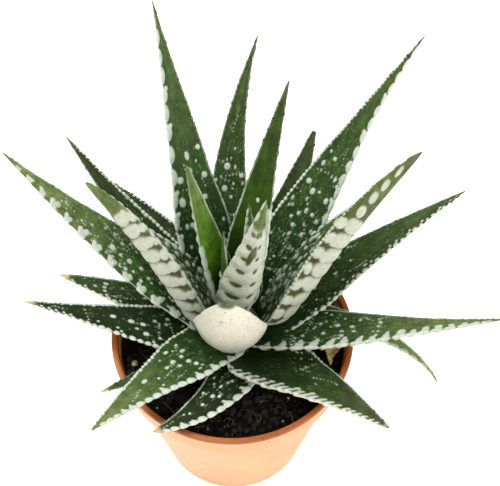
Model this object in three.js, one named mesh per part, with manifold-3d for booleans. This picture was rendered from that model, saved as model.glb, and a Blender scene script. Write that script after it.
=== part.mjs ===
// A potted haworthia: a rosette of stiff, pointed, warty leaves on a short stem, in soil, in a 7 cm pot.
// Millimetres, +Z up. The origin is the centre of the pot's foot, on the surface that it stands on.

import * as THREE from 'three';
import { mergeVertices } from 'three/addons/utils/BufferGeometryUtils.js';
import Module from 'manifold-3d';

// ---- driving dimensions ----------------------------------------------------------------------

const GAP = 0.3; // between neighbours that touch on the real plant

const POT = {
  topDiameter: 70,
  height: 58,
  footDiameter: 44,
  wall: 1.3,
  rimWidth: 1.7,
  rimHeight: 1.6,
  collarHeight: 9,
  collarStep: 1.6,
  floor: 1.6,
  footBevel: 0.8,
  drainHoles: 6,
  drainDiameter: 4,
  drainRadius: 13,
  segments: 48,
};

const SOIL = {
  belowRim: 5,
  moundHeight: 1.4,
  rippleHeight: 0.45,
  segments: 32,
  rings: 6,
};

const STEM = {
  x: 2,
  y: 3,
  foot: 42,
  top: 67,
  radius: 6,
  headRadius: 3,
  segments: 14,
};

const LEAF_SIDES = 8;
const RING_PITCH = 3; // along a leaf: a raised ring and a low one make one band of warts
const CUT_PITCH = 6; // the same along the plainer outline that cuts a leaf's neighbours
const BAND_RELIEF = 0.7; // the bands of the underside stand out by this much
const DOT_RELIEF = 0.45; // the scattered warts of the upper side
const BEAD_RELIEF = 0.5; // the warts along both edges
const CHANNEL = 0.22; // depth of the upper side's channel, in leaf thicknesses
const TIP_WIDTH = 0.9;
const TIP_THICKNESS = 0.8;
const UNDERSIDE_ROUNDNESS = 2.2; // the power that curves the underside at the foot
const TIP_FLATTENING = 0.6; // how much of it the tip loses

// Every leaf, innermost first. foot: where its midrib starts; turn: its heading, anticlockwise from +X;
// sweep: how far the heading turns on the way to the tip; rise: its slope at the foot and at the tip;
// droop: how late the slope changes (1: evenly); roll: its turn about its own midrib; twist: how much more
// it is rolled at the tip; taper: below 1 the sides are full, above 1 they are hollow; round: how full the
// underside is between the keel and the edges.
const LEAVES = [
  { name: 'leaf_inner_banded', foot: [0, 3.5, 67], turn: 343, rise: [80, 80.5], long: 57, wide: 10.8,
    thick: 5, roll: -66, taper: 1 },
  { name: 'leaf_heart_sliver', foot: [6, 6, 67], turn: 180, rise: [88, 89], long: 47, wide: 6.5,
    thick: 3, roll: -60, taper: 0.9 },
  { name: 'leaf_heart_bud', foot: [0, 5, 67], turn: 180, rise: [86, 88], long: 36, wide: 6,
    thick: 3, roll: 10, taper: 0.9 },
  { name: 'leaf_inner_left', foot: [-0.7, 5, 67], turn: 144, sweep: -13, rise: [76, 72], long: 53.7,
    wide: 9.6, thick: 4.5, taper: 0.8 },
  { name: 'leaf_inner_back', foot: [1, 6, 65], turn: 64, sweep: -10, rise: [72, 66], long: 76, wide: 11.8,
    thick: 5, taper: 0.95 },
  { name: 'leaf_inner_front', foot: [-0.3, -1, 62], turn: 268, rise: [67, 67], long: 50, wide: 19.8,
    thick: 7, roll: -2, taper: 0.62, round: 3.3 },
  { name: 'leaf_mid_left_banded', foot: [-2.5, 4, 63], turn: 158.5, sweep: 8, rise: [62, 42],
    long: 61.5, wide: 17, thick: 10.5, roll: 12, twist: 66, taper: 0.55 },
  { name: 'leaf_mid_right_banded', foot: [5.8, 5, 62], turn: 28.5, sweep: -17, rise: [53, 45],
    long: 72.6, wide: 18, thick: 11, roll: -14, twist: -62, taper: 0.75 },
  { name: 'leaf_mid_back_left', foot: [-3, 6, 61], turn: 110, sweep: -2, rise: [56, 49], long: 92,
    wide: 15.2, thick: 5.5, roll: -2, taper: 1.2 },
  { name: 'leaf_mid_back', foot: [2.5, 7, 60], turn: 107.5, sweep: -46, rise: [38, 48.5], long: 80.3,
    wide: 13, thick: 5, taper: 1.15 },
  { name: 'leaf_mid_back_right', foot: [5, 5, 60], turn: 55, sweep: -20, rise: [44, 46], long: 95,
    wide: 16.5, thick: 6, taper: 1.3 },
  { name: 'leaf_mid_left', foot: [-2, 3, 60], turn: 145, sweep: -6, rise: [35, 39], long: 70, wide: 12.5,
    thick: 5, roll: 3, taper: 1.05 },
  { name: 'leaf_mid_far_left', foot: [-2, 5, 58], turn: 160, sweep: -7, rise: [29, 38.5], long: 80.5,
    wide: 16.5, thick: 6, roll: -2, taper: 1.12 },
  { name: 'leaf_low_back_right', foot: [4, 5, 58], turn: 64.3, sweep: 5, rise: [30, 30], long: 58.3,
    wide: 15, thick: 4.5, taper: 1, blunt: 2 },
  { name: 'leaf_low_back_left', foot: [1, 6, 57], turn: 129, sweep: 13, rise: [18, 17], long: 56,
    wide: 14, thick: 4.5, roll: -2, taper: 0.9 },
  { name: 'leaf_low_right_back', foot: [6, 2, 57], turn: 30.5, sweep: -10, rise: [22, 24], long: 73,
    wide: 15.5, thick: 5.5, taper: 1.05 },
  { name: 'leaf_low_right', foot: [5, 2, 58], turn: 348, sweep: 7, rise: [15, 20], long: 74, wide: 15.5,
    thick: 5.5, roll: -12, taper: 1.25 },
  { name: 'leaf_low_front_left', foot: [0, 1, 58], turn: 222, sweep: 7, rise: [18, 7], long: 55,
    wide: 16.5, thick: 5.5, roll: 2, taper: 0.95 },
  { name: 'leaf_low_front_right', foot: [3, -5, 58], turn: 328.7, sweep: -9, rise: [14, 2], long: 50,
    wide: 22.5, thick: 6.5, roll: -23, taper: 1 },
  { name: 'leaf_low_left', foot: [-2, -1, 57], turn: 176, sweep: 3, rise: [12, 20], long: 59, wide: 14.5,
    thick: 5, taper: 1.1 },
  { name: 'leaf_base_left', foot: [-1, 3, 56], turn: 165, rise: [13, 5], long: 52, wide: 13.5,
    thick: 4.5, roll: -1, taper: 0.85 },
  { name: 'leaf_base_front', foot: [4, -3, 56], turn: 258, sweep: -56, rise: [12, 4], long: 42, wide: 13,
    thick: 4.5, taper: 0.85 },
  { name: 'leaf_base_front_right', foot: [4, 2, 56], turn: 327, sweep: -6, rise: [9, 3], long: 33,
    wide: 12, thick: 4, taper: 0.85 },
  { name: 'leaf_base_right', foot: [5, 7, 56.4], turn: 357, sweep: -36, rise: [13, -56], droop: 3,
    long: 62, wide: 10, thick: 4.5, taper: 1.4 },
  { name: 'leaf_base_old', foot: [-1, 2, 55], turn: 217.8, sweep: -10, rise: [11, 6], long: 43, wide: 7,
    thick: 3, taper: 0.8 },
  { name: 'leaf_base_back', foot: [2, 6, 56], turn: 97, rise: [15, 12], long: 40, wide: 13,
    thick: 4.5, taper: 0.85 },
  { name: 'leaf_base_back_right', foot: [5, 5, 56], turn: 40, rise: [13, 10], long: 36, wide: 13,
    thick: 4.5, taper: 0.85 },
];

const FINISH = {
  pot: { color: 0xc4703c, roughness: 0.42, metalness: 0 },
  soil: { color: 0x241c16, roughness: 0.97, metalness: 0 },
  stem: { color: 0x8c8f5e, roughness: 0.8, metalness: 0 },
  leaf: { color: 0x47683f, roughness: 0.45, metalness: 0 },
  youngLeaf: { color: 0x6d9440, roughness: 0.45, metalness: 0 },
  bandedLeaf: { color: 0xb9c3a2, roughness: 0.5, metalness: 0 },
};

const BANDED = ['leaf_inner_banded', 'leaf_inner_front', 'leaf_mid_left_banded', 'leaf_mid_right_banded'];
const YOUNG = ['leaf_inner_left', 'leaf_inner_back', 'leaf_heart_bud', 'leaf_heart_sliver'];

// ---- solids ----------------------------------------------------------------------------------

const wasm = await Module();
wasm.setup();

function skinOf(geometry) {
  geometry.deleteAttribute('normal');
  geometry.deleteAttribute('uv');
  return mergeVertices(geometry, 1e-4);
}

function solidOf(skin) {
  const vertProperties = new Float32Array(skin.getAttribute('position').array);
  const triVerts = new Uint32Array(skin.getIndex().array);
  return new wasm.Manifold(new wasm.Mesh({ numProp: 3, vertProperties, triVerts }));
}

// The triangles of a solid, sorted into its separate shells.
function shellsOf(triVerts, vertexCount) {
  const parent = Array.from({ length: vertexCount }, (_, i) => i);
  const rootOf = (i) => {
    let root = i;
    while (parent[root] !== root) root = parent[root];
    parent[i] = root;
    return root;
  };
  for (let t = 0; t < triVerts.length; t += 3) {
    parent[rootOf(triVerts[t + 1])] = rootOf(triVerts[t]);
    parent[rootOf(triVerts[t + 2])] = rootOf(triVerts[t]);
  }
  const shells = new Map();
  for (let t = 0; t < triVerts.length; t += 3) {
    const root = rootOf(triVerts[t]);
    if (!shells.has(root)) shells.set(root, []);
    shells.get(root).push(triVerts[t], triVerts[t + 1], triVerts[t + 2]);
  }
  return [...shells.values()];
}

// A cut can leave loose scraps at a leaf's foot: only the largest shell is kept.
function geometryOf(solid) {
  const mesh = solid.getMesh();
  const shells = shellsOf(mesh.triVerts, mesh.vertProperties.length / 3);
  shells.sort((a, b) => b.length - a.length);
  const geometry = new THREE.BufferGeometry();
  geometry.setAttribute('position', new THREE.BufferAttribute(mesh.vertProperties.slice(), 3));
  geometry.setIndex(shells[0]);
  const compact = geometry.toNonIndexed();
  return mergeVertices(compact, 1e-5);
}

// ---- leaves ----------------------------------------------------------------------------------

const radians = THREE.MathUtils.degToRad;

function headingAt(leaf, u) {
  const turn = radians(leaf.turn + (leaf.sweep ?? 0) * u);
  const late = Math.pow(Math.max(u, 0), leaf.droop ?? 1);
  const rise = radians(leaf.rise[0] + (leaf.rise[1] - leaf.rise[0]) * late);
  return { turn, rise };
}

function directionAt(leaf, u) {
  const { turn, rise } = headingAt(leaf, u);
  const flat = Math.cos(rise);
  return new THREE.Vector3(flat * Math.cos(turn), flat * Math.sin(turn), Math.sin(rise));
}

// Where the midrib is at u (0: foot, 1: tip), and which way its side and its upper face point there.
function frameAt(leaf, u) {
  const steps = 24;
  const point = new THREE.Vector3(...leaf.foot);
  for (let i = 0; i < steps; i += 1) {
    point.addScaledVector(directionAt(leaf, (u * (i + 0.5)) / steps), (leaf.long * u) / steps);
  }
  const along = directionAt(leaf, u);
  const { turn } = headingAt(leaf, u);
  const level = new THREE.Vector3(-Math.sin(turn), Math.cos(turn), 0);
  const upper = new THREE.Vector3().crossVectors(along, level);
  const roll = radians((leaf.roll ?? 0) + (leaf.twist ?? 0) * u);
  const side = level.clone().multiplyScalar(Math.cos(roll)).addScaledVector(upper, Math.sin(roll));
  upper.multiplyScalar(Math.cos(roll)).addScaledVector(level, -Math.sin(roll));
  return { point, side, upper };
}

// Half the width of a leaf: widest a quarter of the way up, drawn in at the foot, pointed at the tip.
function fullness(u, taper) {
  const left = Math.min(1, Math.max(0, 1 - u));
  const foot = Math.max(0, (left - 0.66) / 0.34);
  const clasp = Math.max(0, (left - 0.88) / 0.12);
  return Math.pow(left, taper) * (1 - 0.28 * foot * foot) * (1 - 0.35 * clasp * clasp);
}

const WIDEST = 0.3;

function halfWidthAt(leaf, u) {
  const tip = (leaf.blunt ?? TIP_WIDTH) / 2;
  const share = Math.min(1, fullness(u, leaf.taper) / fullness(WIDEST, leaf.taper));
  return tip + (leaf.wide / 2 - tip) * share;
}

function keelAt(leaf, u) {
  return TIP_THICKNESS + (leaf.thick - TIP_THICKNESS) * Math.pow(Math.max(0, 1 - u), 0.75);
}

// One point of the skin. across runs round the leaf: 0 at the keel, 0.25 and 0.75 at the edges, 0.5 on
// the upper side. bump is how far a wart lifts it, grow how much larger the whole leaf is made: a larger
// outline has no channel.
function skinPoint(leaf, u, across, bump, grow) {
  const { point, side, upper } = frameAt(leaf, u);
  const turnRound = across * Math.PI * 2;
  const share = Math.sin(turnRound);
  const width = halfWidthAt(leaf, u) + grow;
  const keel = keelAt(leaf, u);
  const onEdge = Math.abs(share) > 0.99;
  const below = Math.cos(turnRound) > 0;
  const curve = (leaf.round ?? UNDERSIDE_ROUNDNESS) - TIP_FLATTENING * u;
  const belly = keel * (1 - Math.pow(Math.abs(share), curve));
  const hollow = grow > 0 ? 0 : CHANNEL * keel * (1 - share * share);
  let height = 0;
  if (!onEdge) height = below ? -(belly + bump + grow) : -hollow + bump + grow;
  const reach = share * width + (onEdge ? Math.sign(share) * bump : 0);
  return point.addScaledVector(side, reach).addScaledVector(upper, height);
}

// How far the warts lift the skin at one ring of the leaf.
function reliefAt(u, ring, place) {
  const isEdge = place === 2 || place === 6;
  const isBelow = place < 2 || place > 6;
  const fade = Math.min(1, (1 - u) * 4) * Math.min(1, u * 12);
  if (isEdge) return ring % 2 === 0 ? BEAD_RELIEF * fade : 0;
  if (isBelow) return ring % 2 === 0 ? BAND_RELIEF * fade : 0;
  const dotted = (ring + place) % 2 === 0 && u > 0.12 && u < 0.75;
  return dotted ? DOT_RELIEF * fade : 0;
}

// A leaf starts as an eight-sided column, whose points are moved onto the leaf's skin.
function leafSkin(leaf, grow = 0) {
  const rings = Math.round(leaf.long / (grow > 0 ? CUT_PITCH : RING_PITCH));
  const column = skinOf(new THREE.CylinderGeometry(1, 1, 1, LEAF_SIDES, rings));
  const position = column.getAttribute('position');
  for (let i = 0; i < position.count; i += 1) {
    const x = position.getX(i);
    const z = position.getZ(i);
    const u = position.getY(i) + 0.5;
    const stretched = u + ((u - 0.5) * 2 * grow) / leaf.long;
    const isCapCentre = Math.hypot(x, z) < 0.5;
    const place = Math.round((Math.atan2(x, z) / (Math.PI * 2)) * LEAF_SIDES + LEAF_SIDES) % LEAF_SIDES;
    const bump = grow > 0 ? BAND_RELIEF : reliefAt(u, Math.round(u * rings), place);
    const target = isCapCentre
      ? capCentre(leaf, u, stretched)
      : skinPoint(leaf, stretched, place / LEAF_SIDES, bump, grow);
    position.setXYZ(i, target.x, target.y, target.z);
  }
  return column;
}

function capCentre(leaf, u, stretched) {
  const { point, upper } = frameAt(leaf, stretched);
  return point.addScaledVector(upper, -keelAt(leaf, u) * 0.5);
}

// ---- stem, soil and pot ----------------------------------------------------------------------

function lathe(outline, segments) {
  const points = outline.map(([r, z]) => new THREE.Vector2(r, z));
  const geometry = new THREE.LatheGeometry(points, segments);
  geometry.rotateX(Math.PI / 2);
  return skinOf(geometry);
}

function stemSkin(grow = 0) {
  const outline = [
    [0, STEM.foot - grow],
    [STEM.radius * 0.7 + grow, STEM.foot - grow],
    [STEM.radius + grow, STEM.foot + 4],
    [STEM.radius + grow, STEM.top - 7],
    [STEM.headRadius + grow, STEM.top - 1],
    [0, STEM.top + grow],
  ];
  const skin = lathe(outline, STEM.segments);
  skin.translate(STEM.x, STEM.y, 0);
  return skin;
}

const rimZ = POT.height;
const collarZ = rimZ - POT.collarHeight;
const rimRadius = POT.topDiameter / 2;
const footRadius = POT.footDiameter / 2;
const shoulderRadius = rimRadius - POT.rimWidth / 2 - POT.collarStep;

// The outer radius of the tapering wall below the collar.
function wallRadius(z) {
  return footRadius + ((shoulderRadius - footRadius) * z) / collarZ;
}

function potSolid() {
  const rimInside = rimRadius - POT.rimWidth;
  const collarInside = rimRadius - POT.rimWidth / 2 - POT.wall;
  const outline = [
    [0, 0],
    [footRadius - POT.footBevel, 0],
    [wallRadius(POT.footBevel), POT.footBevel],
    [shoulderRadius, collarZ],
    [rimRadius - POT.rimWidth / 2 - 0.3, collarZ + 0.6],
    [rimRadius - POT.rimWidth / 2, rimZ - POT.rimHeight],
    [rimRadius, rimZ - POT.rimHeight + 0.4],
    [rimRadius, rimZ - 0.3],
    [rimRadius - 0.4, rimZ],
    [rimInside + 0.4, rimZ],
    [rimInside, rimZ - 0.4],
    [collarInside - 0.3, collarZ + 1],
    [shoulderRadius - POT.wall, collarZ - 1],
    [wallRadius(POT.floor) - POT.wall, POT.floor],
    [0, POT.floor],
  ];
  let solid = solidOf(lathe(outline, POT.segments));
  for (let i = 0; i < POT.drainHoles; i += 1) {
    const angle = (i / POT.drainHoles) * Math.PI * 2;
    const drill = new THREE.CylinderGeometry(POT.drainDiameter / 2, POT.drainDiameter / 2, 8, 12);
    drill.rotateX(Math.PI / 2);
    drill.translate(POT.drainRadius * Math.cos(angle), POT.drainRadius * Math.sin(angle), 0);
    solid = solid.subtract(solidOf(skinOf(drill)));
  }
  return solid;
}

function ripple(x, y) {
  const crossed = Math.sin(x * 0.55 + 1) * Math.cos(y * 0.47);
  return SOIL.rippleHeight * (crossed + 0.5 * Math.sin(x * 0.21 - y * 0.9));
}

function soilSolid() {
  const floorZ = POT.floor + GAP;
  const topZ = rimZ - SOIL.belowRim;
  const insideAt = (z) => wallRadius(z) - POT.wall - GAP;
  const collarInside = rimRadius - POT.rimWidth / 2 - POT.wall - GAP - 0.4;
  const outline = [
    [0, floorZ],
    [insideAt(floorZ), floorZ],
    [insideAt(collarZ - 1), collarZ - 1],
    [collarInside, collarZ + 1.2],
    [collarInside, topZ],
  ];
  for (let i = 1; i <= SOIL.rings; i += 1) {
    const share = 1 - i / SOIL.rings;
    outline.push([collarInside * share, topZ + SOIL.moundHeight * (1 - share * share)]);
  }
  const skin = lathe(outline, SOIL.segments);
  const position = skin.getAttribute('position');
  for (let i = 0; i < position.count; i += 1) {
    const z = position.getZ(i);
    const radius = Math.hypot(position.getX(i), position.getY(i));
    if (z > topZ - 0.1 && radius < collarInside - 1) {
      position.setZ(i, z + ripple(position.getX(i), position.getY(i)));
    }
  }
  return solidOf(skin);
}

// ---- assembly --------------------------------------------------------------------------------

function meshOf(name, geometry, finish) {
  const material = new THREE.MeshStandardMaterial(finish);
  const mesh = new THREE.Mesh(geometry, material);
  mesh.name = name;
  return mesh;
}

function finishOf(name) {
  if (BANDED.includes(name)) return FINISH.bandedLeaf;
  return YOUNG.includes(name) ? FINISH.youngLeaf : FINISH.leaf;
}

const plant = new THREE.Group();
plant.name = 'potted_haworthia';

// Each leaf clasps the stem and the leaves inside it, so it is cut by their slightly larger outlines.
const claimed = [solidOf(stemSkin(GAP))];
const leafMeshes = LEAVES.map((leaf) => {
  const cut = claimed.reduce((solid, inner) => solid.subtract(inner), solidOf(leafSkin(leaf)));
  claimed.push(solidOf(leafSkin(leaf, GAP)));
  return meshOf(leaf.name, geometryOf(cut), finishOf(leaf.name));
});

const bedding = claimed.reduce((solid, inner) => solid.subtract(inner), soilSolid());

plant.add(meshOf('pot', geometryOf(potSolid()), FINISH.pot));
plant.add(meshOf('soil', geometryOf(bedding), FINISH.soil));
plant.add(meshOf('stem', stemSkin(), FINISH.stem));
plant.add(...leafMeshes);

export default plant;
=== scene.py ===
"""A potted haworthia: a rosette of stiff, warty leaves, rooted in soil in a small nursery pot.

The file is laid out as an add-on. Its lengths are in metres, apart from those of the leaves and their
warts, which are in millimetres until the finished skin of a leaf is placed.
"""

import math

import bpy
import numpy as np
from bpy.props import FloatProperty, FloatVectorProperty, IntProperty, PointerProperty
from bpy.types import Operator, Panel, PropertyGroup
from mathutils import Matrix, Vector, noise


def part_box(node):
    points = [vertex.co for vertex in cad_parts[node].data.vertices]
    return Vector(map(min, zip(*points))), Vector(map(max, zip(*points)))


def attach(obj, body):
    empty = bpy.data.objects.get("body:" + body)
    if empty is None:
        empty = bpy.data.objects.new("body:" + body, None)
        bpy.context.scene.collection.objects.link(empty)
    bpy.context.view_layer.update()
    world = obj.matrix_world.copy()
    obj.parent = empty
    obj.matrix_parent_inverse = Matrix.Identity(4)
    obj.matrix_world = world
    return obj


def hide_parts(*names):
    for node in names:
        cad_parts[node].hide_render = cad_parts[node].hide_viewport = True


bl_info = {
    "name": "Potted haworthia",
    "version": (1, 0, 0),
    "blender": (4, 5, 0),
    "location": "3D View > Sidebar > Haworthia",
    "description": "Builds a potted haworthia: pot, soil, stem, leaves with their warts, and a plain studio",
    "category": "Add Mesh",
}

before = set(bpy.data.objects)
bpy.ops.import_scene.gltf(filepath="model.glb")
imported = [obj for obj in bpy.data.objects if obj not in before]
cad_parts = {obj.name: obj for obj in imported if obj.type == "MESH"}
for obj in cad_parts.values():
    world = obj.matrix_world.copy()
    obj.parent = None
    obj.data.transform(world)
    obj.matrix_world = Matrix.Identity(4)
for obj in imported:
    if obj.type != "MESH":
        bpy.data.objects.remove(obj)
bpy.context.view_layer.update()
POT_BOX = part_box("pot")
MM = 0.001

# Every leaf, innermost first, in millimetres and degrees.
# foot: where its midrib starts; turn: its heading, anticlockwise from +X; sweep: how far the heading turns
# by the tip; rise: its slope at the foot and at the tip; droop: how late the slope changes;
# roll: its turn about its own midrib; twist: what the tip adds to the roll.
# taper: below 1 the sides are full; round: how full the underside is from the keel to the edges;
# blunt: how wide the tip ends.
# plus, minus: what grows along the edge on the side that the leaf turns towards, and on the other side.
# bands: how the underside is banded; pitch: from band to band; thin, bare: from where on each band has only
# one wart on each half, row of the half's width off the keel, and none.
# dots: how densely the upper side is dotted, from and to dotted; rim: how far up the pale margin runs.
# shade, glow: how bright the skin is, partly the leaf's own tone and partly painted shade on leaves that lie
# in shadow, and how light it turns towards the tip; tip: how its point looks.
# spots: single large warts of the upper side, as share of the length, way off the midrib, half width and
# stretch.
LEAF = {
    "sweep": 0, "droop": 1, "roll": 0, "twist": 0, "taper": 0.85, "round": 2.2, "blunt": 0.3,
    "plus": "line", "minus": "line", "bands": "rows", "pitch": 4.8, "thin": 2, "row": 0, "bare": 0.97,
    "dots": 0.5, "dotted": (0.12, 0.6), "rim": 0.6, "shade": 1, "glow": 0.4, "tip": "grey", "spots": (),
}
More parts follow.
